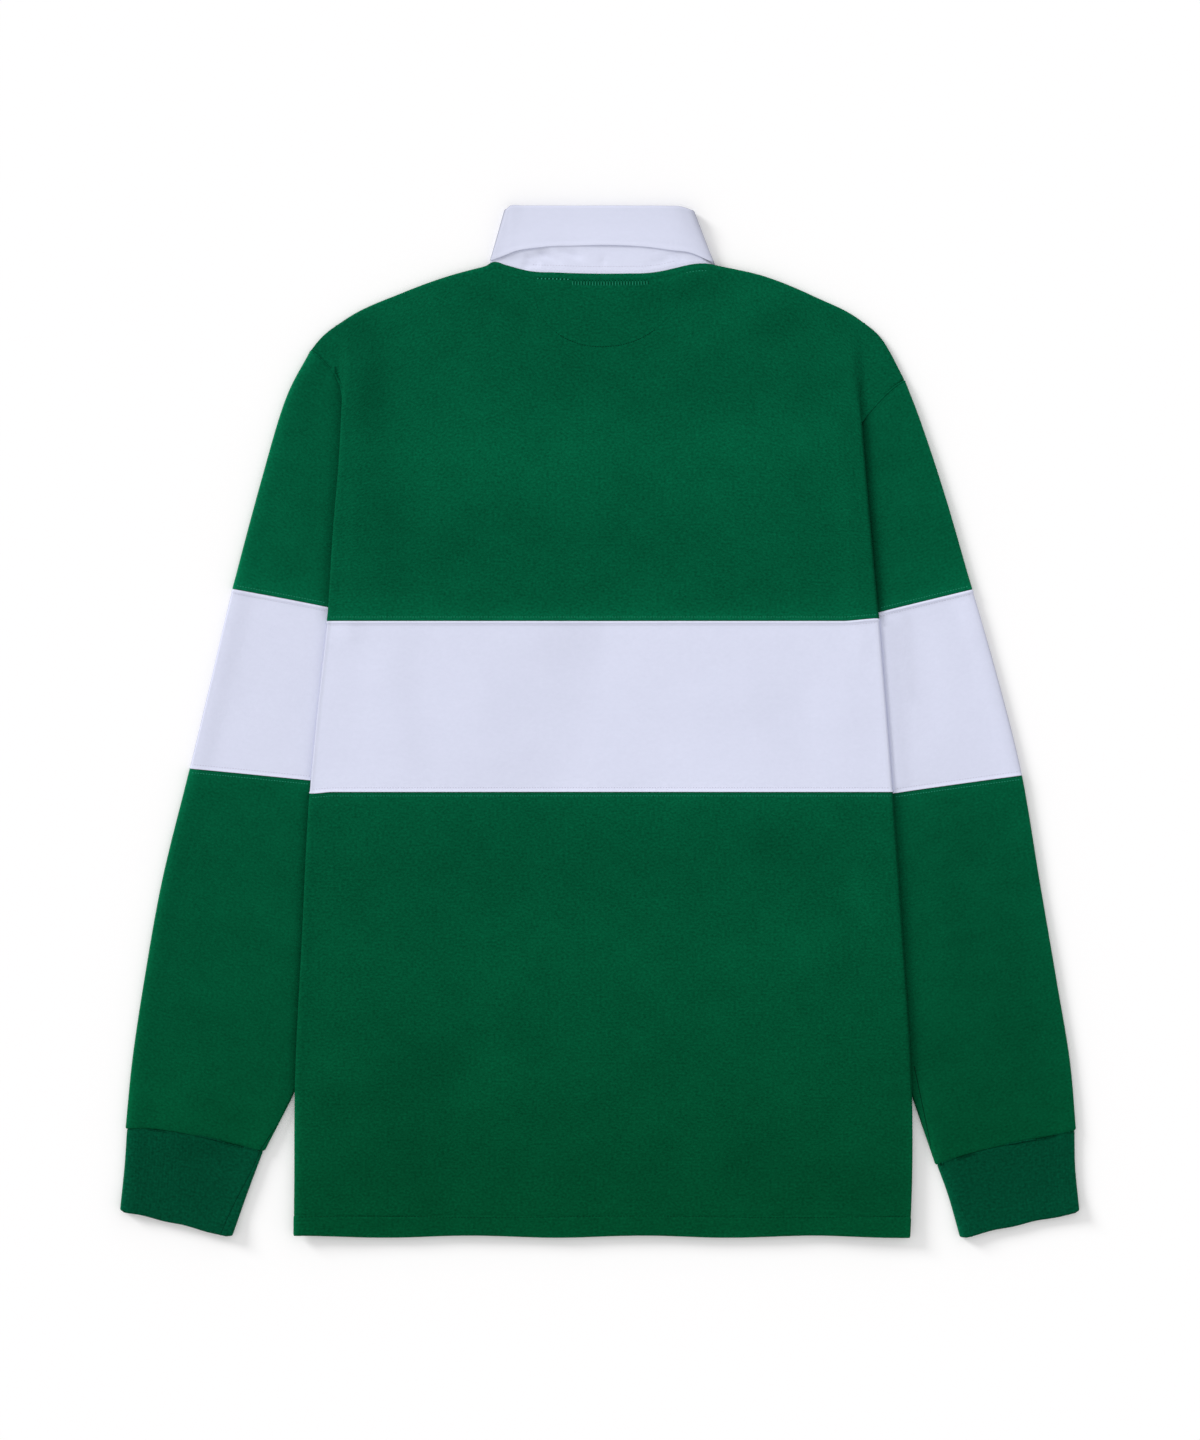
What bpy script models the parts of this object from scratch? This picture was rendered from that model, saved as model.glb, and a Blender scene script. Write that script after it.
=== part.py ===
"""A long-sleeved rugby shirt in heavy jersey, laid face down with its sleeves straight down.

It lies on the plane z = 0 with the back panel on top and the collar towards +Y. The origin is
under the middle of its outline. The sleeves lie on the ground and the body lies over them, so
each side of the back folds over from the shoulder down and turns under at its edge. A white
band runs round the chest and both sleeves, and the collar and the placket are white twill.

Tables and sizes are in millimetres, and meshes are in metres. Every piece is one wall of cloth:
an outer face placed from the tables, given its thickness by Solidify.
"""

import math
from typing import NamedTuple

import bmesh
import bpy
import numpy as np

MM = 0.001

# Cloth and how it stacks
CLOTH = 1.2  # thickness of the jersey, the twill and the ribbing, with their hems and seams
SEAM = 0.3  # gap between two pieces that are sewn together
LIE = 0.3  # gap between two pieces that lie on each other
AIR = 1.2  # air between the two layers of a sleeve or of the body
PAIR = CLOTH + AIR + CLOTH  # height of two layers, as of a sleeve lying flat
ROLL = PAIR / 2  # radius of a folded edge
OVER = PAIR + LIE  # how far a sleeve lifts the body that lies over it
CHEST_LIFT = CLOTH + LIE  # how far the collar's front leaf and the buttons lift the chest
RETURN = 10.0  # how far the back turns under at its folded sides

# Heights of the seams and the hem, measured up from the middle of the shirt
BAND_TOP = 78.0
BAND_BOTTOM = -54.6
HEM = -396.7
HEM_WAVE = 0.8

CENTRE = 3.3  # the body's centre line, a little to the right of the outline's middle


class Level(NamedTuple):
    """One height of the body and where its left and right sides lie."""

    name: str
    up: float
    left: float
    right: float


BODY = (
    Level("shoulder", 310.0, -197.5, 198.3),
    Level("fold starts", 277.0, -197.7, 198.9),
    Level("under shoulder", 206.9, -200.2, 203.4),
    Level("chest", 147.6, -205.0, 208.5),
    Level("band top", BAND_TOP, -209.6, 214.6),
    Level("band middle", 9.8, -217.0, 220.2),
    Level("band bottom", BAND_BOTTOM, -223.0, 225.2),
    Level("waist", -168.0, -229.0, 233.2),
    Level("sleeve leaves", -283.6, -234.4, 240.0),
    Level("above hem", -354.4, -234.8, 240.1),
    Level("hem", HEM, -235.2, 238.4),
)


class Spot(NamedTuple):
    """A named point of an outline."""

    name: str
    across: float
    up: float


# The top of the back, from shoulder tip to shoulder tip along the back neck
TOP = (
    Spot("left shoulder tip", -223.5, 284.3),
    Spot("left shoulder outside the fold", -216.1, 293.6),
    Spot("left shoulder over the fold", -196.6, 309.0),
    Spot("left shoulder middle", -152.0, 330.0),
    Spot("left shoulder by the neck", -116.0, 343.0),
    Spot("left neck point", -86.8, 350.4),
    Spot("left neck curve", -53.7, 345.9),
    Spot("back neck left", -42.1, 345.2),
    Spot("back neck right", 43.4, 345.4),
    Spot("right neck curve", 61.8, 349.2),
    Spot("right neck point", 89.3, 350.6),
    Spot("right shoulder by the neck", 127.0, 342.6),
    Spot("right shoulder middle", 167.0, 326.4),
    Spot("right shoulder over the fold", 200.2, 309.2),
    Spot("right shoulder outside the fold", 217.6, 293.8),
    Spot("right shoulder tip", 235.5, 261.2),
)


class Section(NamedTuple):
    """A section across a flat sleeve: its two edges, and how far its middle bows up the arm."""

    name: str
    outer_across: float
    outer_up: float
    inner_across: float
    inner_up: float
    bow: float


SLEEVES = {
    "left": (
        Section("armhole", -223.5, 284.3, -102.9, 78.3, 11.0),
        Section("upper arm", -242.0, 247.7, -103.7, 76.0, 6.0),
        Section("above band", -260.4, 186.1, -105.6, 72.2, 2.5),
        Section("band top", -282.7, 102.2, -108.3, 66.0, 1.2),
        Section("band middle", -299.3, 32.1, -126.0, 12.1, 0.6),
        Section("band bottom", -315.6, -36.0, -152.2, -52.6, 0.3),
        Section("forearm", -336.8, -121.9, -180.7, -131.9, 1.0),
        Section("lower forearm", -350.6, -198.9, -207.7, -214.3, 2.0),
        Section("wrist", -359.8, -260.5, -231.5, -277.4, 3.0),
        Section("cuff seam", -365.0, -314.0, -258.1, -330.9, 4.0),
    ),
    "right": (
        Section("armhole", 235.5, 261.2, 109.6, 78.3, 11.0),
        Section("upper arm", 247.4, 230.0, 110.3, 75.3, 6.0),
        Section("above band", 266.1, 173.1, 111.9, 69.1, 2.5),
        Section("band top", 286.7, 101.8, 115.0, 59.1, 0.3),
        Section("band middle", 306.7, 32.1, 132.7, 3.7, 0.3),
        Section("band bottom", 324.9, -41.2, 158.9, -64.9, 0.3),
        Section("forearm", 338.5, -121.9, 187.3, -134.9, 0.8),
        Section("lower forearm", 351.6, -198.9, 214.3, -216.6, 1.6),
        Section("wrist", 361.8, -260.5, 235.9, -275.9, 2.2),
        Section("cuff seam", 366.6, -314.4, 258.6, -341.7, 2.8),
    ),
}
CUFFS = {
    "left": (
        Section("seam", -363.8, -314.4, -259.2, -331.4, 4.0),
        Section("middle", -365.9, -343.6, -271.2, -362.9, 2.0),
        Section("end", -369.3, -376.0, -283.1, -396.9, 0.6),
    ),
    "right": (
        Section("seam", 365.4, -314.8, 259.8, -342.1, 2.8),
        Section("middle", 366.0, -343.6, 268.4, -365.4, 1.4),
        Section("end", 369.3, -377.3, 277.4, -397.4, 0.6),
    ),
}
BAND_START, BAND_END = 3, 5  # the sections between which a sleeve is white
ARMHOLE_LEAN = 0.6  # below 1 it puts the armhole's fullest point near the shoulder


class Leaf(NamedTuple):
    """A station round the collar: its neck seam, its top fold and its leaf's edge, in plan."""

    name: str
    turn: float  # degrees: -90 lies on the ground, in front, and 90 on top, behind
    seam_across: float
    seam_up: float
    fold_across: float
    fold_up: float
    edge_across: float
    edge_up: float


SIDE_TURNS = (-55.0, -15.0, 25.0, 62.0)
COLLAR_FRONT = (
    Leaf("centre front", -90, 2.0, 267.6, 2.0, 320.1, -36.7, 247.7),
    Leaf("front", -90, -28.0, 273.0, -22.0, 326.0, -51.0, 264.5),
    Leaf("front side", -90, -49.8, 290.1, -38.3, 338.6, -65.2, 286.2),
    Leaf("side", -90, -74.5, 324.7, -61.4, 368.6, -81.4, 325.8),
)
COLLAR_LEFT = Leaf("left side", 0, -87.4, 351.0, -73.2, 394.6, -83.9, 354.2)
COLLAR_BACK = (
    Leaf("left", 90, -76.8, 350.0, -66.5, 396.4, -73.2, 358.3),
    Leaf("left curve", 90, -55.5, 347.0, -47.0, 396.8, -45.2, 364.8),
    Leaf("left middle", 90, -22.9, 345.8, -21.3, 396.8, -19.0, 365.8),
    Leaf("middle", 90, 4.1, 345.9, 2.5, 396.8, 6.4, 366.3),
    Leaf("right middle", 90, 34.9, 346.0, 27.2, 396.8, 31.8, 365.2),
    Leaf("right curve", 90, 61.4, 349.8, 50.3, 396.7, 54.9, 362.3),
    Leaf("right", 90, 76.0, 350.8, 63.4, 395.9, 72.0, 359.6),
)
COLLAR_RIGHT = Leaf("right side", 0, 90.2, 351.2, 72.6, 393.4, 87.4, 353.4)
STAND_TURN = 1.2  # half the height between the collar's stand in front and behind
LEAF_TURN = 2.7  # the same for its leaf, which lies outside the stand
COLLAR_MIDDLE = LEAF_TURN + CLOTH / 2
COLLAR_PUFF = 3.6  # how far the leaf stands up at the soft fold behind
STAND_PUFF = 0.35 * COLLAR_PUFF  # and how far the stand does
COLLAR_FOLD = 0.9 * CLOTH  # the reach of the soft fold, from the end of the stand or the leaf

# The opening in the chest, which its placket and buttons close
PLACKET_WIDTH = 30.0
BUTTONS = 3
BUTTON_RADIUS = 6.5
BUTTON_PITCH = 52.0
FIRST_BUTTON = 249.3  # the height of the top button


class Lift(NamedTuple):
    """A raised stretch down the middle of the chest: its size, and how far its slopes run."""

    name: str
    half_width: float
    side_slope: float
    foot: float
    foot_slope: float


LIFTS = (
    Lift("over the collar", 124.0, 26.0, 212.0, 26.0),
    Lift("over the buttons", 44.0, 20.0, 78.0, 24.0),
)


class Fold(NamedTuple):
    """A soft ridge of the back, from one point to another."""

    name: str
    start_across: float
    start_up: float
    end_across: float
    end_up: float
    width: float
    height: float


FOLDS = (
    Fold("left of the neck", -150.0, 322.0, -62.0, 236.0, 34.0, 2.4),
    Fold("right of the neck", 142.0, 326.0, 50.0, 262.0, 30.0, 2.0),
    Fold("left side", -192.0, 262.0, -196.0, 70.0, 16.0, 1.8),
    Fold("right side", 190.0, 236.0, 204.0, 60.0, 14.0, 1.2),
    Fold("across the chest", -130.0, 150.0, 60.0, 214.0, 60.0, 1.4),
    Fold("left waist", -214.0, -284.0, -60.0, -206.0, 30.0, 1.8),
    Fold("low left", -190.0, -330.0, 30.0, -262.0, 34.0, 1.5),
    Fold("right waist", 214.0, -150.0, 116.0, -236.0, 36.0, 1.4),
    Fold("low right", 40.0, -330.0, 190.0, -286.0, 30.0, 1.5),
)

RIDGE_SHARPNESS = 2.5  # how quickly a ridge falls off across its width
RIDGE_FADE = 0.4  # the share of its height that it loses towards its far end
FLAT_MARGIN = 24.0  # ridges fade out this near to the back's edges

# Rows down the back from its top edge: a rounded edge of (inset, drop), then plain distances
EDGE_ROWS = ((0.0, 3.3), (0.0, 1.8), (0.5, 0.5), (1.8, 0.0))
UPPER_ROWS = (10, 20, 30, 38, 47, 57, 68, 80, 93, 118, 148, 178, 206, 232)

# Columns over the folded side of the back: (inset, drop) when it is folded, then the same
# column's (inset, share of the drop) above the fold, where the cloth lies open
FOLDED = ((14.0, 0.0), (1.8, 0.0), (0.5, 0.5), (0.0, 1.8), (0.5, 3.1), (1.8, 3.6), (RETURN, 3.6))
OPEN = ((14.0, 0.0), (5.0, 0.0), (3.0, 0.15), (1.0, 0.4), (-1.0, 0.7), (-3.0, 0.95), (-5.0, 1.0))
FOLD_HIGH, FOLD_LOW = 290.0, 250.0  # the fold grows between these heights
FOLD_LIFTS, FOLD_SLOPE = 44.0, 30.0  # it lifts the cloth this far inside it, over this slope

JERSEY = ("jersey_green", (0.0010, 0.0843, 0.0369), 0.85)
BAND = ("jersey_white", (0.679, 0.708, 0.863), 0.85)
TWILL = ("twill_white", (0.679, 0.708, 0.863), 0.75)
RIBBING = ("rib_green", (0.0009, 0.0561, 0.0250), 0.9)
RUBBER = ("button_white", (0.72, 0.72, 0.74), 0.5)


def step(share):
    """A smooth step from 0 to 1 as share goes from 0 to 1."""
    share = min(1.0, max(0.0, share))
    return share * share * (3 - 2 * share)


def between(low, high, share):
    return low + (high - low) * share


def through(keys, values, key):
    """The smooth curve through the values at rising keys, read at one key."""
    keys = np.asarray(keys, float)
    values = np.asarray(values, float)
    slopes = np.gradient(values, keys)
    i = int(np.clip(np.searchsorted(keys, key) - 1, 0, len(keys) - 2))
    span = keys[i + 1] - keys[i]
    t = (key - keys[i]) / span
    start = (1 + 2 * t) * (1 - t) ** 2 * values[i] + t * (1 - t) ** 2 * span * slopes[i]
    end = t * t * (3 - 2 * t) * values[i + 1] + t * t * (t - 1) * span * slopes[i + 1]
    return float(start + end)


def side_edge(side, up):
    """How far across the body's left or right side lies at a height."""
    levels = BODY[::-1]
    return through([row.up for row in levels], [getattr(row, side) for row in levels], up)


def top_edge(across):
    """The height of the back's top edge."""
    return float(np.interp(across, [spot.across for spot in TOP], [spot.up for spot in TOP]))


# The sleeves


def arm_point(sections, index, share):
    """A point of a flat sleeve in plan: share 0 is its outer edge and 1 its inner one."""
    steps = range(len(sections))
    outer_across, outer_up, inner_across, inner_up, bow = (
        through(steps, [row[column] for row in sections], index) for column in range(1, 6)
    )
    across, up = inner_across - outer_across, inner_up - outer_up
    width = math.hypot(across, up)
    lean = between(ARMHOLE_LEAN, 1.0, min(index, 1.0)) if len(sections) > 3 else 1.0
    rise = bow * math.sin(math.pi * min(1.0, max(0.0, share)) ** lean) / width
    rise = -rise if outer_across > 0 else rise
    point = outer_across + share * across - rise * up, outer_up + share * up + rise * across
    return np.array(point), width


def sleeve_inner(side, up):
    """How far across the sleeve's inner edge, and above it the armhole, lies at a height."""
    edge = [(row.inner_up, row.inner_across) for row in reversed(CUFFS[side])]
    edge += [(row.inner_up, row.inner_across) for row in reversed(SLEEVES[side])]
    armhole = [arm_point(SLEEVES[side], 0.0, share)[0] for share in ARMHOLE_SHARES]
    edge += [(point[1], point[0]) for point in armhole]
    edge.sort()
    return float(np.interp(up, [row[0] for row in edge], [row[1] for row in edge]))


RAMP = 30.0  # over this width the body climbs on to a sleeve
RAMP_AHEAD = 16.0  # and it is fully up this far before the sleeve's edge
CLIMB_FROM = BAND_TOP + 50.0  # below this height the front begins to climb on to the sleeves
CLIMB_LENGTH = 44.0  # and this much lower it is fully up
ARMHOLE_SHARES = (0.75, 0.5, 0.25, 0.1, 0.0)  # places along the armhole that sleeve_inner reads


def on_sleeve(across, up):
    """From 0, on the ground, to 1, lying on a sleeve."""
    side = "left" if across < CENTRE else "right"
    past = sleeve_inner(side, up) - across
    past = -past if side == "right" else past
    return step((past + RAMP_AHEAD + RAMP) / RAMP)


def fold_growth(up):
    """How far the fold at the back's side has risen and has turned under, from 0 to 1 each."""
    grown = (FOLD_HIGH - up) / (FOLD_HIGH - FOLD_LOW)
    return step(2 * grown), step(2 * grown - 1)


def inset(across, up):
    """How far inside the nearer side of the body a point lies."""
    return min(across - side_edge("left", up), side_edge("right", up) - across)


def chest_lift(across, up):
    """How far the collar's front leaf, and the buttons down the chest, lift both panels."""
    aside = abs(across - CENTRE)
    shares = (
        step((lift.half_width - aside) / lift.side_slope) * step((up - lift.foot) / lift.foot_slope)
        for lift in LIFTS
    )
    return CHEST_LIFT * max(shares)


def soft_folds(across, up):
    """The height of the back's soft ridges at a point."""
    total = 0.0
    for fold in FOLDS:
        start = np.array([fold.start_across, fold.start_up])
        run = np.array([fold.end_across, fold.end_up]) - start
        share = float(np.dot(np.array([across, up]) - start, run) / np.dot(run, run))
        near = start + min(1.0, max(0.0, share)) * run
        away = math.dist((across, up), near) / fold.width
        fade = 1 - RIDGE_FADE * min(1.0, abs(share))
        total += fold.height * math.exp(-RIDGE_SHARPNESS * away * away) * fade
    return total


def back_top(across, up):
    """The height of the back's outer face."""
    inside = inset(across, up)
    by_fold = step((FOLD_LIFTS - inside) / FOLD_SLOPE)
    lifted = fold_growth(up)[0] * max(on_sleeve(across, up), by_fold)
    edge = step(inside / FLAT_MARGIN) if up < FOLD_HIGH else 1.0
    edge *= step((top_edge(across) - up) / FLAT_MARGIN)
    ridges = soft_folds(across, up) * edge
    return PAIR + chest_lift(across, up) + OVER * lifted + ridges


def front_top(across, up):
    """The height of the front's inner face, which looks up."""
    climb = step((CLIMB_FROM - up) / CLIMB_LENGTH)
    return CLOTH + chest_lift(across, up) + OVER * climb * on_sleeve(across, up)


# Making pieces


def add_patch(bm, columns, rows, place):
    """A grid of quads, each of whose points goes to place(column, row), with row 0 at the top."""
    made = bmesh.ops.create_grid(bm, x_segments=columns, y_segments=rows, size=1.0)
    for vert in made["verts"]:
        column = round((vert.co.x + 1) / 2 * columns)
        row = rows - round((vert.co.y + 1) / 2 * rows)
        vert.co = np.array(place(column, row)) * MM


def make_material(name, colour, roughness):
    material = bpy.data.materials.get(name) or bpy.data.materials.new(name)
    material.use_nodes = True
    shader = material.node_tree.nodes["Principled BSDF"]
    shader.inputs["Base Color"].default_value = (*colour, 1.0)
    shader.inputs["Roughness"].default_value = roughness
    shader.inputs["Metallic"].default_value = 0.0
    material.diffuse_color = (*colour, 1.0)
    return material


def finish(bm, name, finish_of, collection, wall=CLOTH):
    """One object from a mesh of outer faces, with the cloth's thickness on their inner side."""
    bmesh.ops.remove_doubles(bm, verts=bm.verts, dist=0.002 * MM)
    mesh = bpy.data.meshes.new(name)
    bm.to_mesh(mesh)
    bm.free()
    mesh.materials.append(make_material(*finish_of))
    mesh.shade_smooth()
    piece = bpy.data.objects.new(name, mesh)
    collection.objects.link(piece)
    if wall:
        solidify = piece.modifiers.new("Cloth", "SOLIDIFY")
        solidify.thickness = wall * MM
        solidify.offset = -1.0
    return piece


def spread(corners, counts):
    """Values through the corners, with each stretch divided into its count of parts."""
    values = [corners[0]]
    for low, high, count in zip(corners, corners[1:], counts):
        values += [between(low, high, (i + 1) / count) for i in range(count)]
    return values


# The back

SIDE_COLUMNS = len(FOLDED)
NECK_MARGIN = 1.2  # the shoulder's rounded edge ends this far outside the neck point
NECK_CUT = 2.0  # over this width it changes to the neckline's square edge
NECK_ROW = 0.1  # how far apart the rows of the rounded edge lie there
UPPER_COLUMNS = spread(
    (-183.5, -86.8, -53.7, -42.1, 43.4, 61.8, 89.3, 184.3), (5, 2, 1, 4, 1, 2, 5)
)
LOWER_COLUMNS = spread((-1.0, -0.3, 0.3, 1.0), (9, 4, 9))


def folded_column(side, column, up):
    """Across and drop of a column over the folded side: column 0 is the innermost."""
    risen, turned = fold_growth(up)
    folded_inset, folded_drop = FOLDED[column]
    open_inset, open_share = OPEN[column]
    inwards = 1 if side == "left" else -1
    depth = between(open_inset, folded_inset, turned)
    drop = between(OVER * risen * open_share, folded_drop, turned)
    return side_edge(side, up) + inwards * depth, drop


def back_column(column, shares, up):
    """Across and drop of any column of the back at a height, counted from the left."""
    if column < SIDE_COLUMNS:
        return folded_column("left", SIDE_COLUMNS - 1 - column, up)
    column -= SIDE_COLUMNS - 1
    if column < len(shares) - 1:
        low = folded_column("left", 0, up)[0]
        high = folded_column("right", 0, up)[0]
        return between(low, high, shares[column]), 0.0
    return folded_column("right", column - len(shares) + 1, up)


def upper_row(row, across):
    """Height and edge drop of a row of the upper back at a place across."""
    top = top_edge(across)
    if row < len(EDGE_ROWS):
        inset_down, drop = EDGE_ROWS[row]
        from_left = across - (TOP[5].across - NECK_MARGIN)
        from_right = TOP[10].across + NECK_MARGIN - across
        neck = step(from_left / NECK_CUT) * step(from_right / NECK_CUT)
        return top - inset_down - NECK_ROW * row * neck, drop * (1 - neck)
    share = UPPER_ROWS[row - len(EDGE_ROWS)] / UPPER_ROWS[-1]
    return between(top, BAND_TOP + SEAM / 2, share), 0.0


def upper_back_point(column, row):
    shares = [
        (value - UPPER_COLUMNS[0]) / (UPPER_COLUMNS[-1] - UPPER_COLUMNS[0])
        for value in UPPER_COLUMNS
    ]
    up = between(TOP[2].up, BAND_TOP, row_share(row))
    for _ in range(4):
        across, side_drop = back_column(column, shares, up)
        up, edge_drop = upper_row(row, across)
    return across, up, back_top(across, up) - side_drop - edge_drop


def row_share(row):
    """About how far down the upper back a row lies, from 0 to 1."""
    if row < len(EDGE_ROWS):
        return 0.0
    return UPPER_ROWS[row - len(EDGE_ROWS)] / UPPER_ROWS[-1]


CAP_COLUMNS = 8
CAP_BELOW = 2.0  # the cap's last row may start this far below the end of its armhole
CAP_TUCK = 6.0  # the cap reaches this far in under the folded side
CAP_START = 1.0  # above the fold, the cap is level this far outside the folded side's last column


CAP_SEARCH = 0.005  # the step in which cap_end follows the armhole


def cap_end(side):
    """Where the armhole passes in under the folded side: its share, and the rows down to it."""
    share = 0.0
    point = arm_point(SLEEVES[side], 0.0, share)[0]
    while inset(point[0], point[1]) < CAP_TUCK:
        share += CAP_SEARCH
        point = arm_point(SLEEVES[side], 0.0, share)[0]
    rows = sum(TOP[2].up - drop > point[1] - CAP_BELOW for drop in UPPER_ROWS)
    return share, rows


def cap_point(side, column, row, end_share, cap_rows):
    """A point of the shoulder cap outside the fold: column 0 joins the turned-under edge."""
    edge_column = 0 if side == "left" else 2 * SIDE_COLUMNS + len(UPPER_COLUMNS) - 3
    start = np.array(upper_back_point(edge_column, row))
    if column == 0:
        return start
    outwards = -1 if side == "left" else 1
    turned = fold_growth(start[1])[1]
    low = PAIR + chest_lift(start[0], start[1])
    if column == 1:
        reach = between(CAP_START / 2, -LIE / 2, turned)
        height = between(low, low + LIE / 2, turned)
        return np.array([start[0] + outwards * reach, start[1], height])
    if row < len(EDGE_ROWS):
        edge_inset, drop = EDGE_ROWS[row]
        tip = TOP[0] if side == "left" else TOP[-1]
        first = start[0] + outwards * CAP_START
        across = between(first, tip.across, (column - 2) / (CAP_COLUMNS - 2))
        up = top_edge(across) - edge_inset
        if column == CAP_COLUMNS:
            across, up = armhole_spot(side, edge_inset)
            across, up = across - outwards * 3 * SEAM, up + SEAM
        return np.array([across, up, PAIR - drop])
    share = (row - len(EDGE_ROWS) + 1) / cap_rows
    first = start[0] + outwards * between(CAP_START, 0.0, turned)
    start = np.array([first, start[1], PAIR])
    seam, _ = arm_point(SLEEVES[side], 0.0, between(0.01, end_share, share))
    end = np.array([seam[0] - outwards * SEAM / 2, seam[1], PAIR])
    return start + (end - start) * (column - 2) / (CAP_COLUMNS - 2)


def armhole_spot(side, distance):
    """The point of the armhole at a small distance from the shoulder tip."""
    _, width = arm_point(SLEEVES[side], 0.0, 0.0)
    point, _ = arm_point(SLEEVES[side], 0.0, distance / width)
    return point


def make_back(collection):
    rows = len(EDGE_ROWS) + len(UPPER_ROWS) - 1
    columns = 2 * SIDE_COLUMNS + len(UPPER_COLUMNS) - 3
    bm = bmesh.new()
    add_patch(bm, columns, rows, upper_back_point)
    for side in ("left", "right"):
        end_share, cap_rows = cap_end(side)

        def place(column, row, side=side, end_share=end_share, cap_rows=cap_rows):
            column = CAP_COLUMNS - column if side == "left" else column
            return cap_point(side, column, row, end_share, cap_rows)

        add_patch(bm, CAP_COLUMNS, len(EDGE_ROWS) + cap_rows - 1, place)
    finish(bm, "back_upper", JERSEY, collection)
    make_body_part("back_band", BAND, BAND_TOP, BAND_BOTTOM, 5, lower_back_point, collection)
    make_body_part("back_lower", JERSEY, BAND_BOTTOM, HEM, 13, lower_back_point, collection)


def lower_back_point(column, up):
    shares = [(value + 1) / 2 for value in LOWER_COLUMNS]
    across, drop = back_column(column, shares, up)
    return across, up, back_top(across, up) - drop


def lower_front_point(column, up):
    shares = [(value + 1) / 2 for value in LOWER_COLUMNS]
    low = side_edge("left", up) + RETURN + SEAM
    high = side_edge("right", up) - RETURN - SEAM
    across = between(low, high, shares[column])
    return across, up, front_top(across, up)


def hem_wave(across, share):
    """The hem's slight wave, which fades out up the body."""
    return HEM_WAVE * math.sin(across / 21.0) * step((share - 0.8) / 0.2)


def make_body_part(name, finish_of, top, bottom, rows, point, collection):
    """A part of the back or the front between two heights."""
    columns = len(LOWER_COLUMNS) - 1
    if point is lower_back_point:
        columns += 2 * SIDE_COLUMNS - 2
    top -= SEAM / 2
    bottom += SEAM / 2 if bottom > HEM else HEM_WAVE

    def place(column, row):
        across, up, height = point(column, between(top, bottom, row / rows))
        wave = hem_wave(across, row / rows) if bottom < BAND_BOTTOM else 0.0
        return across, up + wave, height

    bm = bmesh.new()
    add_patch(bm, columns, rows, place)
    finish(bm, name, finish_of, collection)


# The front

ARMHOLE_STARTS, ARMHOLE_ENDS = 0.012, 0.998  # shares of the armhole that the front runs along
FRONT_ROWS = spread((0.0, 0.1, 1.0), (2, 10))
EDGE_INSIDE = ROLL + 3 * SEAM  # the front lies this far inside the back's rounded edge
EDGE_SHARE = 0.1  # the share of the armhole over which that gap narrows to the seam's
PLACKET_ROWS = 10  # how many of the upper front's rows the placket takes


def front_neck(across):
    """The height of the front's top edge: its neckline, and its shoulders inside the back's."""
    neck = [(row.seam_across, row.seam_up) for row in reversed(COLLAR_FRONT)]
    neck += [(2 * CENTRE - across_, up) for across_, up in reversed(neck)]
    neck = sorted(neck)
    low, high = TOP[5], TOP[10]
    points = [(low.across, low.up - EDGE_INSIDE)] + neck + [(high.across, high.up - EDGE_INSIDE)]
    if low.across < across < high.across:
        return float(np.interp(across, [p[0] for p in points], [p[1] for p in points])) - SEAM
    return top_edge(across) - EDGE_INSIDE


def front_armhole(side, share_down):
    """The armhole edge of the upper front, which starts inside the back's rounded shoulder."""
    share = between(ARMHOLE_STARTS, ARMHOLE_ENDS, share_down)
    point = arm_point(SLEEVES[side], 0.0, share)[0]
    gap = between(EDGE_INSIDE, SEAM, step(share_down / EDGE_SHARE))
    return point[0] + (gap if side == "left" else -gap), point[1]


def front_offsets(side):
    """The upper front's columns at its top edge, measured out from the centre line."""
    seams = [abs(leaf.seam_across - CENTRE) for leaf in COLLAR_FRONT[1:]]
    neck = abs(TOP[5 if side == "left" else 10].across - CENTRE)
    tip = abs(front_armhole(side, 0.0)[0] - CENTRE)
    return spread((PLACKET_WIDTH / 2 + SEAM, *seams, neck, tip), (1, 1, 1, 1, 3))


def front_point(column, share_down, side):
    """A point of the upper front: column 0 is beside the placket and the last at the armhole."""
    outwards = -1 if side == "left" else 1
    offsets = front_offsets(side)
    side_share = (offsets[column] - offsets[0]) / (offsets[-1] - offsets[0])
    armhole, tip, foot = (front_armhole(side, share) for share in (share_down, 0.0, 1.0))
    top_across = CENTRE + outwards * offsets[column]
    across = top_across + side_share * (armhole[0] - tip[0])
    straight = between(tip[1], foot[1], share_down)
    bulge = (armhole[1] - straight) * side_share
    up = between(front_neck(top_across), BAND_TOP + SEAM / 2, share_down) + bulge
    return across, max(up, BAND_TOP + SEAM / 2), front_top(across, up)


def placket_end():
    """The share down the upper front at which the placket's opening ends."""
    return FRONT_ROWS[PLACKET_ROWS]


def make_front(collection):
    bm = bmesh.new()
    side_columns = len(front_offsets("left")) - 1
    rows = len(FRONT_ROWS) - 1

    def left(column, row):
        return front_point(side_columns - column, FRONT_ROWS[row], "left")

    def right(column, row):
        return front_point(column, FRONT_ROWS[row], "right")

    def below(column, row):
        side = "left" if column == 0 else "right"
        return front_point(0, FRONT_ROWS[PLACKET_ROWS + row], side)

    add_patch(bm, side_columns, rows, left)
    add_patch(bm, side_columns, rows, right)
    add_patch(bm, 1, rows - PLACKET_ROWS, below)
    finish(bm, "front_upper", JERSEY, collection)
    make_body_part("front_band", BAND, BAND_TOP, BAND_BOTTOM, 5, lower_front_point, collection)
    make_body_part("front_lower", JERSEY, BAND_BOTTOM, HEM, 13, lower_front_point, collection)


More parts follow.
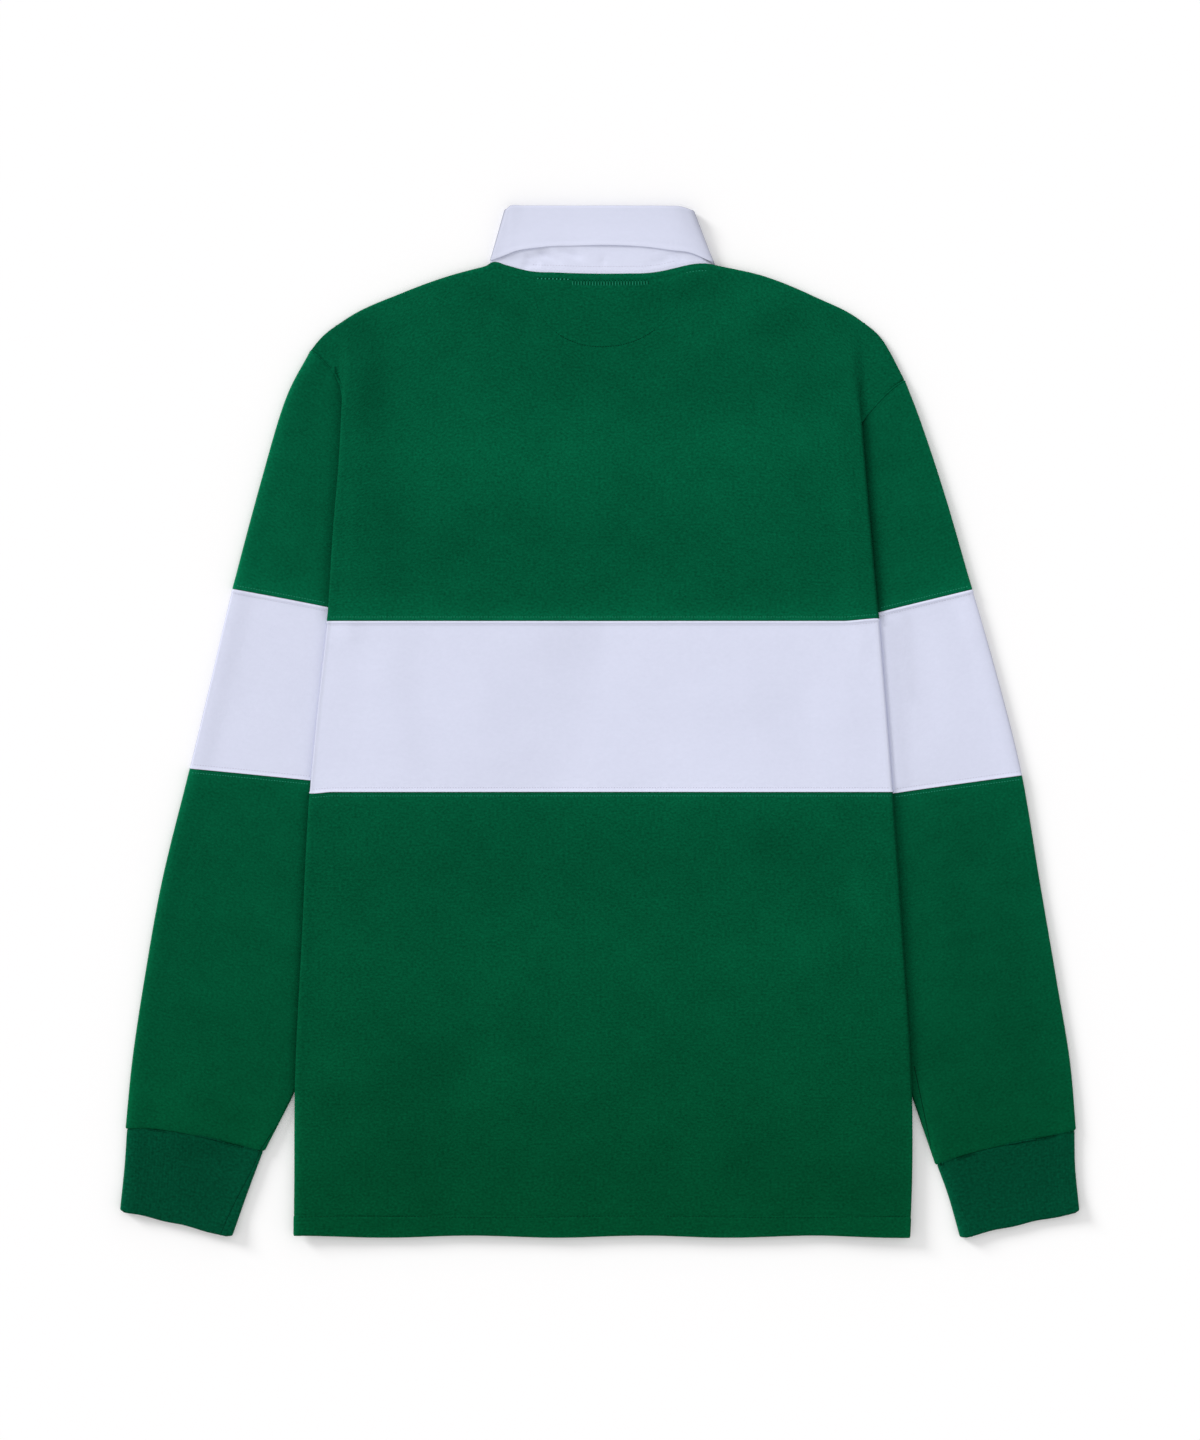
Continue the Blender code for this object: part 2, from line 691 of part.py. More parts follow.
def make_placket(collection):
    """The strip that closes the neck opening, with its buttons on its outer side."""
    half = PLACKET_WIDTH / 2
    bottom = front_point(0, placket_end(), "left")[1] + SEAM
    rows = PLACKET_ROWS

    def place(column, row):
        across = CENTRE + between(-half, half, column / 2)
        top = front_neck(across)
        up = between(top, bottom, row / rows)
        return across, up, front_top(across, up)

    bm = bmesh.new()
    add_patch(bm, 2, rows, place)
    finish(bm, "placket", TWILL, collection)
    for number in range(BUTTONS):
        bm = bmesh.new()
        bmesh.ops.create_cone(
            bm,
            cap_ends=True,
            segments=20,
            radius1=BUTTON_RADIUS * MM,
            radius2=BUTTON_RADIUS * MM,
            depth=CLOTH * MM,
        )
        up = FIRST_BUTTON - number * BUTTON_PITCH
        bmesh.ops.translate(bm, verts=bm.verts, vec=np.array([CENTRE, up, CLOTH / 2]) * MM)
        finish(bm, f"button_{number + 1}", RUBBER, collection, wall=0.0)


# The sleeves and cuffs

UPPER_SIDE = 6  # parts across a sleeve's upper layer
LOWER_SIDE = 3  # and across the layer on the ground
CORNER = 0.5  # the middle of a rolled edge's quarter lies this far in, and above or below
SEAM_PULL = 0.8 * SEAM  # how far each sleeve part ends short of its seam
AHEAD = 0.02  # a small step along a sleeve, which gives its direction at a seam


def ring_points():
    """A ring round a flat sleeve: (mm in from the outer edge, mm in from the inner edge, share
    of the width between, height). One of the first two, or the share, is given."""
    rolled = ((0.0, ROLL), (CORNER, PAIR - CORNER), (ROLL, PAIR))
    outer = [(depth, None, None, height) for depth, height in rolled]
    over = [(None, None, i / UPPER_SIDE, PAIR) for i in range(1, UPPER_SIDE)]
    inner = [(None, depth, None, height) for depth, height in reversed(rolled)]
    inner += [(None, depth, None, PAIR - height) for depth, height in rolled[1:]]
    under = [(None, None, 1 - i / LOWER_SIDE, 0.0) for i in range(1, LOWER_SIDE)]
    close = [(depth, None, None, PAIR - height) for depth, height in reversed(rolled)]
    return outer + over + inner + under + close


RING = ring_points()


def sleeve_point(sections, index, ring_index):
    """A point of a sleeve's outer face."""
    from_outer, from_inner, share, height = RING[ring_index]
    _, width = arm_point(sections, index, 0.5)
    if from_outer is not None:
        share = from_outer / width
    elif from_inner is not None:
        share = 1 - from_inner / width
    point, _ = arm_point(sections, index, share)
    return np.array([point[0], point[1], height])


def make_sleeve_part(name, finish_of, sections, indexes, ends, collection):
    """A stretch of a flat sleeve between two of its sections, with a seam's half gap at each
    of the ends that is sewn."""
    side = 1 if sections[0].outer_across > 0 else -1
    count = len(RING) - 1
    rows = len(indexes) - 1

    def place(column, row):
        ring_index = column if side < 0 else count - column
        point = sleeve_point(sections, indexes[row], ring_index)
        for at_row, direction in ((0, 1), (rows, -1)):
            if row == at_row and ends[0 if at_row == 0 else 1]:
                ahead = indexes[at_row] + direction * AHEAD
                run = sleeve_point(sections, ahead, ring_index) - point
                run[2] = 0.0
                point = point + run / np.linalg.norm(run) * SEAM_PULL
        return point

    bm = bmesh.new()
    add_patch(bm, count, rows, place)
    finish(bm, name, finish_of, collection)


def make_sleeves(collection):
    last = len(SLEEVES["left"]) - 1
    for side in ("left", "right"):
        sections = SLEEVES[side]
        parts = (
            ("upper", JERSEY, spread((0.0, BAND_START), (6,))),
            ("band", BAND, spread((BAND_START, BAND_END), (4,))),
            ("lower", JERSEY, spread((BAND_END, last), (8,))),
        )
        for part, finish_of, indexes in parts:
            name = f"sleeve_{part}_{side}"
            make_sleeve_part(name, finish_of, sections, indexes, (True, True), collection)
        indexes = spread((0.0, 2.0), (4,))
        make_sleeve_part(
            f"cuff_{side}", RIBBING, CUFFS[side], indexes, (True, False), collection
        )


# The collar


def mirrored(leaf):
    """A station of the collar's front on the other side of the body's centre line."""
    return leaf._replace(
        seam_across=2 * CENTRE - leaf.seam_across,
        fold_across=2 * CENTRE - leaf.fold_across,
        edge_across=2 * CENTRE - leaf.edge_across,
    )


def collar_stations():
    """All stations, from the centre front round the left side, the back and the right side."""
    left = [COLLAR_LEFT._replace(turn=turn) for turn in SIDE_TURNS]
    right = [COLLAR_RIGHT._replace(turn=turn) for turn in reversed(SIDE_TURNS)]
    front = list(COLLAR_FRONT)
    return front + left + list(COLLAR_BACK) + right + [mirrored(leaf) for leaf in reversed(front)]


# Points over the collar from its neck seam: (layer, share along it), where the stand runs up
# from the seam to the fold and the leaf runs down from the fold to its edge
COLLAR_PROFILE = (
    ("stand", 0.0),
    ("stand", 0.3),
    ("stand", 0.62),
    ("stand", 0.88),
    ("fold", 0.15),
    ("fold", 0.5),
    ("fold", 0.85),
    ("leaf", 0.16),
    ("leaf", 0.42),
    ("leaf", 0.72),
    ("leaf", 1.0),
)


def collar_point(leaf, layer, share):
    """The middle of the cloth at one point of the collar."""
    seam = np.array([leaf.seam_across, leaf.seam_up])
    fold = np.array([leaf.fold_across, leaf.fold_up])
    edge = np.array([leaf.edge_across, leaf.edge_up])
    turn = math.radians(leaf.turn)
    behind = max(0.0, math.sin(turn))
    outwards = -1 if leaf.fold_across < CENTRE else 1
    if layer == "stand":
        run = COLLAR_FOLD / np.linalg.norm(fold - seam)
        plan = between(seam, fold, share * (1 - run))
        radius = STAND_TURN
        rise = STAND_PUFF * step((share - 0.2) / 0.8)
    elif layer == "leaf":
        run = COLLAR_FOLD / np.linalg.norm(edge - fold)
        plan = between(fold, edge, between(run, 1.0, share))
        radius = LEAF_TURN
        rise = COLLAR_PUFF * step((1.0 - share) / 0.9)
    else:
        centre = fold + (seam - fold) / np.linalg.norm(seam - fold) * COLLAR_FOLD
        round_share = (1 - math.cos(math.pi * share)) / 2
        plan = centre + (fold - centre) * math.sin(math.pi * share)
        radius = between(STAND_TURN, LEAF_TURN, round_share)
        rise = between(STAND_PUFF, COLLAR_PUFF, round_share)
    if leaf.turn not in (-90, 90):
        plan = plan + np.array([outwards * (radius * math.cos(turn) - LEAF_TURN - CLOTH / 2), 0.0])
    height = COLLAR_MIDDLE + radius * math.sin(turn) + rise * behind**2
    return np.array([plan[0], plan[1], height])


def make_collar(collection):
    stations = collar_stations()
    columns = len(stations) - 1
    rows = len(COLLAR_PROFILE) - 1

    def place(column, row):
        return collar_point(stations[column], *COLLAR_PROFILE[row])

    bm = bmesh.new()
    add_patch(bm, columns, rows, place)
    collar = finish(bm, "collar", TWILL, collection)
    collar.modifiers["Cloth"].offset = 0.0


def clear_scene():
    for existing in list(bpy.data.objects):
        bpy.data.objects.remove(existing, do_unlink=True)


def main():
    clear_scene()
    collection = bpy.data.collections.new("Rugby_shirt")
    bpy.context.scene.collection.children.link(collection)
    make_back(collection)
    make_front(collection)
    make_placket(collection)
    make_sleeves(collection)
    make_collar(collection)


main()
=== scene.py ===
"""The looks of a heavy jersey rugby shirt that lies face down, seen from straight above.

Every piece of cloth is one thin shell on the form of the solid that it stands for, with its
creases, seams and hems raised or sunk in it, and a knit or a twill in its finish. Tables and
sizes are in millimetres, and meshes are in metres.
"""

import logging
import math
from collections.abc import Sequence
from dataclasses import dataclass, replace
from enum import Enum
from typing import NamedTuple

import bmesh
import bpy
import numpy as np
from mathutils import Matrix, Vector
from mathutils.bvhtree import BVHTree

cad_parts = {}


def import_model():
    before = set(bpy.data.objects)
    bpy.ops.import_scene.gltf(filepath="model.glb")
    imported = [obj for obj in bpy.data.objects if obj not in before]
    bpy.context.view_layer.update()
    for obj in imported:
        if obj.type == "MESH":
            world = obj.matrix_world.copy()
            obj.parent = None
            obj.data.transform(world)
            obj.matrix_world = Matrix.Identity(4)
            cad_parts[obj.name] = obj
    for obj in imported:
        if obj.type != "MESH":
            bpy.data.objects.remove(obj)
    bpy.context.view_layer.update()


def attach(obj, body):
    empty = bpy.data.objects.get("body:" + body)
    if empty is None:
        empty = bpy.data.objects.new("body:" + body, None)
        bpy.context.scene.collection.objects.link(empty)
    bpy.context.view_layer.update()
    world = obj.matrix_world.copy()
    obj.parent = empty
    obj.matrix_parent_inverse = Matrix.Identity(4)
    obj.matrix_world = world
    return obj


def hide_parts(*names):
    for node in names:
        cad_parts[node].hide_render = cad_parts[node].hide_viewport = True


LOG = logging.getLogger("rugby_shirt")
Array = np.ndarray
MM = 0.001

# The cloth's wall, the gaps at a seam and between layers, a flat pair's height, the roll at its
# edge, and how high what lies over a sleeve or over the collar's front is lifted
CLOTH = 1.2
SEAM = 0.3
LIE = 0.3
PAIR = 3.6
ROLL = PAIR / 2
OVER = PAIR + LIE
CHEST_LIFT = CLOTH + LIE

# How far the back's sides are folded under, and how far inside them its flat part starts
RETURN = 10.0
FOLD_INSET = 14.0

# The body's middle, and the heights of its seams and its hem
CENTRE = 3.3
BAND_TOP = 78.0
BAND_BOTTOM = -54.6
BAND_MARGIN = 8.0
HEM = -396.7
HEM_TURN = 16.0

# How the hem wavers, and from which share of the panel's length and over which
HEM_WAVE, HEM_WAVE_RUN = 0.8, 21.0
HEM_WAVES_FROM, HEM_WAVES_OVER = 0.8, 0.2

# How far the sewing draws the band's seams up or down at their ends
TOP_SEAM_RISE, TOP_SEAM_FROM, TOP_SEAM_RUN = 2.0, 186.0, 28.0
FOOT_SEAM_DROP, FOOT_SEAM_FROM, FOOT_SEAM_RUN = 1.2, -205.0, 16.0
SEAM_DRAWS, SEAM_NARROWS = 14.0, 0.6

# How far the free ends curl up, and how much less the hem does at its sides
HEM_CURL, HEM_CURL_RUN = 2.2, 46.0
SIDE_CURL, SIDE_CURL_RUN = 0.4, 60.0
CUFF_CURL_RUN = 22.0

# Where the folds at the sides begin, end, and lift the back
FOLD_HIGH, FOLD_LOW = 305.0, 235.0
FOLD_LIFTS, FOLD_SLOPE = 100.0, 86.0
SLEEVE_LEAVES = -283.6
FOLD_ENDS, FOLD_END_RUN = SLEEVE_LEAVES - 30.0, 50.0

# How the body climbs onto the sleeves
RAMP, SOFT_RAMP, RAMP_AHEAD = 30.0, 110.0, 16.0
CLIMB_FROM, CLIMB_LENGTH = BAND_TOP + 50.0, 44.0

# How the bow of an armhole or a cuff's seam leans towards one edge, from 1 for neither
ARMHOLE_LEAN, LEFT_CUFF_LEAN, RIGHT_CUFF_LEAN = 0.6, 0.65, 1.7
ARMHOLE_SHARES = (0.75, 0.5, 0.25, 0.1, 0.0)

# How far the front's edge lies inside the outline, how close points are merged, how far away a
# sleeve's underside lies in the flat cloth, and a distance at which nothing has effect
EDGE_INSIDE = ROLL + 3 * SEAM
MERGE = 0.002
UNDERSIDE_AWAY = 500.0
FAR = 99.0

# How close two pieces come where a seam shows
JOIN = 0.03

# How fine the shells are
PITCH = 3.0
HIDDEN_PITCH = 5.0
FINE = 0.5

# How uneven a crease is: its ends' fades, its swelling along, and its two sides' widths
CREASE_START, CREASE_END = 0.35, 0.45
CREASE_SWELL, CREASE_TURNS, CREASE_PHASE = 0.3, 7.0, 1.7
SOFT_SIDE, STEEP_SIDE, CREASE_WIDENS = 1.35, 0.8, 0.25

# The waves of smoothed-out cloth, and the seeds of each part's own
RIPPLES = 9
BACK_SEED, FRONT_SEED, SLEEVE_SEED, COLLAR_SEED = 3, 11, 5, 17
SHORTEST_RIPPLE, LONGEST_RIPPLE, USUAL_RIPPLE = 32.0, 120.0, 80.0


class Side(Enum):
    """A side of the shirt as seen from above."""

    LEFT = "left"
    RIGHT = "right"

    @property
    def outwards(self) -> int:
        """The direction along X that leads away from the middle."""
        return -1 if self is Side.LEFT else 1


class Level(NamedTuple):
    """One height of the body and where its left and right sides lie."""

    name: str
    up: float
    left: float
    right: float


BODY = (
    Level("shoulder", 310, -197.5, 198.3),
    Level("fold starts", 277, -197.7, 198.9),
    Level("under shoulder", 206.9, -200.2, 203.4),
    Level("chest", 147.6, -205, 208.5),
    Level("band top", BAND_TOP, -209.6, 214.6),
    Level("band middle", 9.8, -217, 220.2),
    Level("band bottom", BAND_BOTTOM, -223, 225.2),
    Level("waist", -168, -229, 233.2),
    Level("sleeve leaves", SLEEVE_LEAVES, -234.4, 240),
    Level("above hem", -354.4, -234.8, 240.1),
    Level("hem", HEM, -235.2, 238.4),
)


class Spot(NamedTuple):
    """A named point of an outline."""

    name: str
    across: float
    up: float


LEFT_SHOULDER = (
    Spot("tip", -223.5, 284.3),
    Spot("outside the fold", -216.1, 293.6),
    Spot("over the fold", -196.6, 309),
    Spot("middle", -152, 330),
    Spot("by the neck", -116, 343),
    Spot("neck point", -86.8, 350.8),
)
BACK_NECK = (
    Spot("left neck point", -86.8, 350.8),
    Spot("left tip", -83.6, 353),
    Spot("left slope", -71.4, 350.9),
    Spot("left bend", -62.1, 348.3),
    Spot("left curve", -52.9, 346.3),
    Spot("left", -34.4, 345.4),
    Spot("left of the middle", -16, 344.7),
    Spot("right of the middle", 21, 344.6),
    Spot("right", 39.5, 345.2),
    Spot("right curve", 48.7, 346.6),
    Spot("right bend", 58, 348.8),
    Spot("right slope", 67.2, 351),
    Spot("right crest", 76.5, 352.3),
    Spot("right tip", 84.6, 352),
    Spot("right neck point", 89.3, 351.2),
)
RIGHT_SHOULDER = (
    Spot("neck point", 89.3, 351.2),
    Spot("by the neck", 127, 342.6),
    Spot("middle", 167, 326.4),
    Spot("over the fold", 200.2, 309.2),
    Spot("outside the fold", 217.6, 293.8),
    Spot("tip", 235.5, 261.2),
)
TOP_AT_FOLD = 309.0


class Section(NamedTuple):
    """A section across a flat sleeve: its two edges, and how far its middle bows up the arm."""

    name: str
    outer_across: float
    outer_up: float
    inner_across: float
    inner_up: float
    bow: float


SLEEVES = {
    Side.LEFT: (
        Section("armhole", -223.5, 284.3, -102.9, 78.3, 11),
        Section("upper arm", -242, 247.7, -103.7, 76, 6),
        Section("above band", -260.4, 186.1, -105.6, 72.2, 2.5),
        Section("band top", -282.7, 102.2, -108.3, 66, 1.2),
        Section("band middle", -299.3, 32.1, -126, 12.1, 0.6),
        Section("band bottom", -315.6, -36, -152.2, -52.6, 0.3),
        Section("forearm", -336.8, -121.9, -180.7, -131.9, 1),
        Section("lower forearm", -350.6, -198.9, -207.7, -214.3, 2),
        Section("wrist", -359.8, -260.5, -231.5, -277.4, 3),
        Section("cuff seam", -365, -314, -258.1, -330.9, 4.3),
    ),
    Side.RIGHT: (
        Section("armhole", 235.5, 261.2, 109.6, 78.3, 11),
        Section("upper arm", 247.4, 230, 110.3, 75.3, 6),
        Section("above band", 266.1, 173.1, 111.9, 69.1, 2.5),
        Section("band top", 286.7, 101.8, 115, 59.1, 0.3),
        Section("band middle", 306.7, 32.1, 132.7, 3.7, 0.3),
        Section("band bottom", 324.9, -41.2, 158.9, -64.9, 0.3),
        Section("forearm", 338.5, -121.9, 187.3, -134.9, 0.8),
        Section("lower forearm", 351.6, -198.9, 214.3, -216.6, 1.6),
        Section("wrist", 361.8, -260.5, 235.9, -275.9, 2.2),
        Section("cuff seam", 366.6, -314.4, 258.6, -341.7, 2.8),
    ),
}
CUFFS = {
    Side.LEFT: (
        Section("seam", -363.8, -314.3, -259.2, -330.8, 4.3),
        Section("middle", -365.9, -343.6, -271.2, -362.9, 2),
        Section("end", -369.3, -376, -283.1, -396.9, 0.6),
    ),
    Side.RIGHT: (
        Section("seam", 365.4, -314.8, 259.8, -341.5, 2.8),
        Section("middle", 366, -343.6, 268.4, -365.4, 1.4),
        Section("end", 369.3, -377.3, 277.4, -397.4, 0.6),
    ),
}
BAND_START, BAND_END = 3, 5


class Leaf(NamedTuple):
    """A station round the collar: its neck seam, its top fold and its leaf's edge, in plan."""

    name: str
    turn: float
    seam_across: float
    seam_up: float
    fold_across: float
    fold_up: float
    edge_across: float
    edge_up: float


SIDE_TURNS = (-55.0, -15.0, 25.0, 62.0)
COLLAR_FRONT = (
    Leaf("centre front", -90, 2, 267.6, 2, 320.1, -36.7, 247.7),
    Leaf("front", -90, -28, 273, -22, 326, -51, 264.5),
    Leaf("front side", -90, -49.8, 290.1, -38.3, 338.6, -65.2, 286.2),
    Leaf("side", -90, -74.5, 324.7, -61.4, 368.6, -81.4, 325.8),
)
COLLAR_LEFT = Leaf("left side", 0, -86.0, 352.6, -73.4, 393.7, -84.4, 354.8)
COLLAR_BACK = (
    Leaf("left", 90, -76.8, 352.5, -69, 395.7, -73.2, 358.3),
    Leaf("left bend", 90, -66, 349.8, -58, 396, -62, 362.3),
    Leaf("left curve", 90, -55.5, 347.3, -47, 396, -45.2, 364.6),
    Leaf("left middle", 90, -22.9, 345.4, -21.3, 396, -19, 365.8),
    Leaf("middle", 90, 4.1, 345, 2.5, 396, 6.4, 366.3),
    Leaf("right middle", 90, 34.9, 345.4, 27.2, 396, 31.8, 365.2),
    Leaf("right curve", 90, 61.4, 350, 50.3, 395.9, 54.9, 362.3),
    Leaf("right", 90, 76, 352.6, 63.4, 395.1, 72, 359.6),
)
COLLAR_RIGHT = Leaf("right side", 0, 90.0, 352.2, 72.6, 392.7, 87.4, 353.8)

# Where the collar's top fold and its two ends lie in plan
COLLAR_TOP = 396.4
LEFT_END = (Spot("foot", -83.3, 354.8), Spot("top", -72.9, 393.3))
RIGHT_END = (Spot("foot", 89.3, 351.7), Spot("top", 70.3, 394.0))

# Painted shade on the collar by its ends, its fold and under its leaf, and a painted highlight along its neck
# seam, as strengths and reaches, and the direction towards the window
LEFT_END_SHADE = ((0.08, 3.0), (0.08, 12.0))
RIGHT_END_SHADE = ((0.2, 8.0), (0.06, 24.0))
FOLD_SHADE = ((0.08, 3.0),)
UNDER_LEAF_SHADE = ((0.13, 1.0),)
NECK_SEAM_LIGHT = ((0.13, 1.1),)
TOWARDS_WINDOW = (-0.84, 0.54)


class Layer(Enum):
    """A layer of the collar, from inside the neck to its leaf's edge."""

    TUCK = "tuck"
    STAND = "stand"
    FOLD = "fold"
    LEAF = "leaf"


class Place(NamedTuple):
    """A place over the collar: its layer, and the share of the way along that."""

    layer: Layer
    share: float


class Lift(NamedTuple):
    """A raised stretch down the middle of the chest: its size, and how far its slopes run."""

    name: str
    half_width: float
    side_slope: float
    foot: float
    foot_slope: float


LIFTS = (
    Lift("over the collar", 124, 26, 212, 26),
    Lift("over the buttons", 44, 20, 78, 24),
)
# The same on the back, where the cloth spans them softly
SOFT_LIFTS = (
    Lift("over the collar", 184, 86, 152, 86),
    Lift("over the buttons", 94, 70, 24, 78),
)


class Crease(NamedTuple):
    """A soft ridge, or a trough where its height is below 0, between two points in plan."""

    name: str
    start_across: float
    start_up: float
    end_across: float
    end_up: float
    width: float
    height: float
    bend: float = 0.0


# The largest folds, which the solids have too
FOLDS = (
    Crease("left of the neck", -150, 322, -62, 236, 34, 2.4),
    Crease("right of the neck", 142, 326, 50, 262, 30, 2),
    Crease("left side", -192, 262, -196, 70, 16, 1.8),
    Crease("right side", 190, 236, 204, 60, 14, 1.2),
    Crease("across the chest", -130, 150, 60, 214, 60, 1.4),
    Crease("left waist", -214, -284, -60, -206, 30, 1.8),
    Crease("low left", -190, -330, 30, -262, 34, 1.5),
    Crease("right waist", 214, -150, 116, -236, 36, 1.4),
    Crease("low right", 40, -330, 190, -286, 30, 1.5),
)
RIDGE_SHARPNESS = 2.5
RIDGE_FADE = 0.4
FLAT_MARGIN = 24.0

# Finer creases of the back
BACK_CREASES = (
    Crease("under the left neck point", -100, 334, -48, 304, 9, -0.55, 4),
    Crease("under the right neck point", 92, 332, 40, 312, 9, -0.45, -3),
    Crease("left yoke", -176, 306, -164, 214, 10, -0.7, 6),
    Crease("left yoke ridge", -160, 300, -140, 238, 12, 0.5, -4),
    Crease("right yoke", 172, 300, 160, 226, 12, -0.5, -5),
    Crease("chest left", -150, 190, -60, 226, 16, -0.4, 6),
    Crease("chest middle", -40, 130, 70, 168, 18, 0.45, -5),
    Crease("chest right", 60, 120, 150, 186, 16, -0.35, 4),
    Crease("above the band left", -150, 92, -150, 150, 9, 0.3, 3),
    Crease("above the band right", 118, 86, 126, 140, 9, 0.3, -3),
    Crease("band left bright", -180, 70, -172, -40, 12, 0.15, 3),
    Crease("band left trough", -146, 74, -128, -30, 11, -0.2, -5),
    Crease("band left second", -112, 66, -104, -20, 9, -0.15, 3),
    Crease("band right trough", 118, 74, 142, -34, 11, -0.2, 4),
    Crease("band right second", 158, 60, 162, -44, 9, -0.15, -3),
    Crease("band right bright", 192, 70, 198, -46, 11, 0.15),
    Crease("waist left", -222, -292, -120, -232, 9, -0.3, 5),
    Crease("waist left second", -214, -318, -90, -262, 10, -0.25, -6),
    Crease("waist middle", -60, -180, 50, -150, 16, 0.4, 5),
    Crease("waist right", 212, -186, 150, -240, 12, -0.5, -4),
    Crease("low middle", -20, -350, 110, -320, 12, -0.45, 5),
    Crease("low right", 120, -340, 214, -296, 10, -0.45, -4),
    Crease("hem left", -190, -386, -120, -372, 8, 0.35, 2),
    Crease("hem right", 70, -388, 150, -376, 8, 0.35, -2),
)
SLEEVE_CREASES = {
    Side.LEFT: (
        Crease("shoulder", -232, 250, -214, 190, 9, -0.4, 3),
        Crease("upper arm", -250, 200, -238, 120, 12, 0.35, 4),
        Crease("band", -276, 84, -270, -20, 9, -0.15, 3),
        Crease("elbow", -320, -60, -250, -104, 12, -0.45, 5),
        Crease("forearm", -336, -150, -262, -190, 14, 0.4, -5),
        Crease("lower arm", -346, -230, -280, -262, 12, -0.4, 4),
        Crease("ease at the cuff", -344, -286, -343, -312, 3.5, -0.4, 0.5),
    ),
    Side.RIGHT: (
        Crease("shoulder", 238, 232, 226, 170, 9, -0.4, -3),
        Crease("upper arm", 256, 180, 250, 116, 12, 0.35, -4),
        Crease("band", 234, 88, 236, 30, 7, -0.2, -2),
        Crease("elbow", 326, -70, 262, -110, 12, -0.45, -5),
        Crease("forearm", 338, -160, 276, -196, 14, 0.4, 5),
        Crease("lower arm", 350, -236, 290, -270, 12, -0.4, -4),
    ),
}

COLLAR_CREASES = (
    Crease("left wrinkle", -52, 361, -26, 351, 2, 1.35, 1),
    Crease("left wrinkle two", -44, 353, -62, 351.5, 1.8, 0.9, 0.6),
    Crease("left wrinkle three", -38, 363, -8, 354, 2, 1.2, 1),
    Crease("left wrinkle four", -60, 357.5, -44, 352.5, 1.6, 0.9, 0.5),
    Crease("middle wrinkle", 2, 350, 6, 359, 2.6, 0.5, 0.6),
    Crease("right wrinkle", 34, 351, 58, 357, 2.2, 0.6, -1),
    Crease("right wrinkle two", 48, 360, 70, 353, 2, 0.6, 0.8),
)

# Painted patches of soft light on the cloth, and of soft shade where the height is below 0
SOFT_LIGHT_AND_SHADE = (
    Crease("chest, left", -146, 212, -20, 204, 32, 0.13),
    Crease("chest, right", 60, 206, 156, 212, 30, 0.1),
    Crease("beside the chest, right", 156, 236, 160, 130, 26, -0.05),
    Crease("under the chest", -150, 140, 120, 126, 26, -0.055, 6),
    Crease("above the chest", -44, 270, 116, 256, 22, -0.07),
    Crease("left shoulder", -178, 292, -172, 250, 17, -0.17),
    Crease("beside the left fold", -168, 230, -164, 110, 17, -0.1, 3),
    Crease("left of the neck", -92, 328, -62, 312, 9, -0.13, 2),
    Crease("right of the neck", 30, 326, 84, 334, 10, -0.1),
    Crease("right shoulder", 140, 300, 165, 268, 16, -0.06),
    Crease("above the band, left", -196, 94, -170, 100, 12, 0.08),
    Crease("beside the right fold", 176, 250, 186, 100, 9, 0.04),
    Crease("under the neck", -24, 310, 40, 310, 22, -0.04),
    Crease("under the band", -180, -112, 130, -104, 28, -0.045, -5),
    Crease("under the band, right", 124, -90, 160, -108, 18, -0.09),
    Crease("middle", 60, -140, 110, -150, 16, -0.04),
    Crease("waist", -170, -190, 170, -176, 34, 0.055, 8),
    Crease("waist, right", 200, -126, 214, -160, 13, 0.1),
    Crease("low left, dark", -138, -256, -138, -364, 28, -0.09),
    Crease("low left, light", -84, -262, -84, -310, 24, 0.05),
    Crease("low right", 112, -334, 226, -356, 22, -0.09),
    Crease("low middle", -60, -340, 30, -340, 26, -0.05),
    Crease("band, left", -150, 60, -138, -40, 14, -0.02, -4),
    Crease("band, far left", -196, 40, -196, -30, 14, -0.012),
    Crease("band, right", 60, 10, 120, 10, 40, -0.02),
    Crease("band, far right", 186, 30, 192, -44, 16, -0.012),
    Crease("left upper arm", -240, 230, -258, 120, 12, 0.06),
    Crease("left band", -300, 60, -318, -20, 16, -0.035),
    Crease("left elbow", -330, -110, -350, -230, 12, -0.04),
    Crease("left forearm", -270, -180, -280, -200, 18, 0.05),
    Crease("left wrist", -322, -276, -330, -296, 24, 0.09),
    Crease("left cuff", -318, -326, -298, -328, 10, -0.13),
    Crease("right band, by the fold", 236, 80, 240, 20, 5, -0.05),
    Crease("right band, middle", 256, 70, 262, 0, 8, 0.02),
    Crease("right band", 300, 60, 322, -30, 14, -0.03),
    Crease("right lower arm", 276, -110, 300, -300, 60, -0.06),
    Crease("right forearm, inner", 254, -140, 262, -230, 12, 0.05),
    Crease("right forearm, outer", 300, -150, 330, -250, 20, -0.03),
)


def step(share: Array | float) -> Array:
    """A smooth step from 0 to 1, read at a share of the way over it."""
    share = np.clip(share, 0.0, 1.0)
    return share * share * (3.0 - 2.0 * share)


def between(low: Array | float, high: Array | float, share: Array | float) -> Array:
    """A value at a share of the way from low to high."""
    return low + (high - low) * share


def bump(away: Array | float, width: float) -> Array:
    """A rounded bump, 1 at its middle, that falls off over a width."""
    return np.exp(-np.square(away / width))


def faded(rows: Sequence[tuple[float, float]], away: Array) -> Array | float:
    """What dies away from an edge: the sum of some strengths, each with how far it reaches."""
    away = np.maximum(away, 0.0)
    return sum(strength * np.exp(-away / reach) for strength, reach in rows)


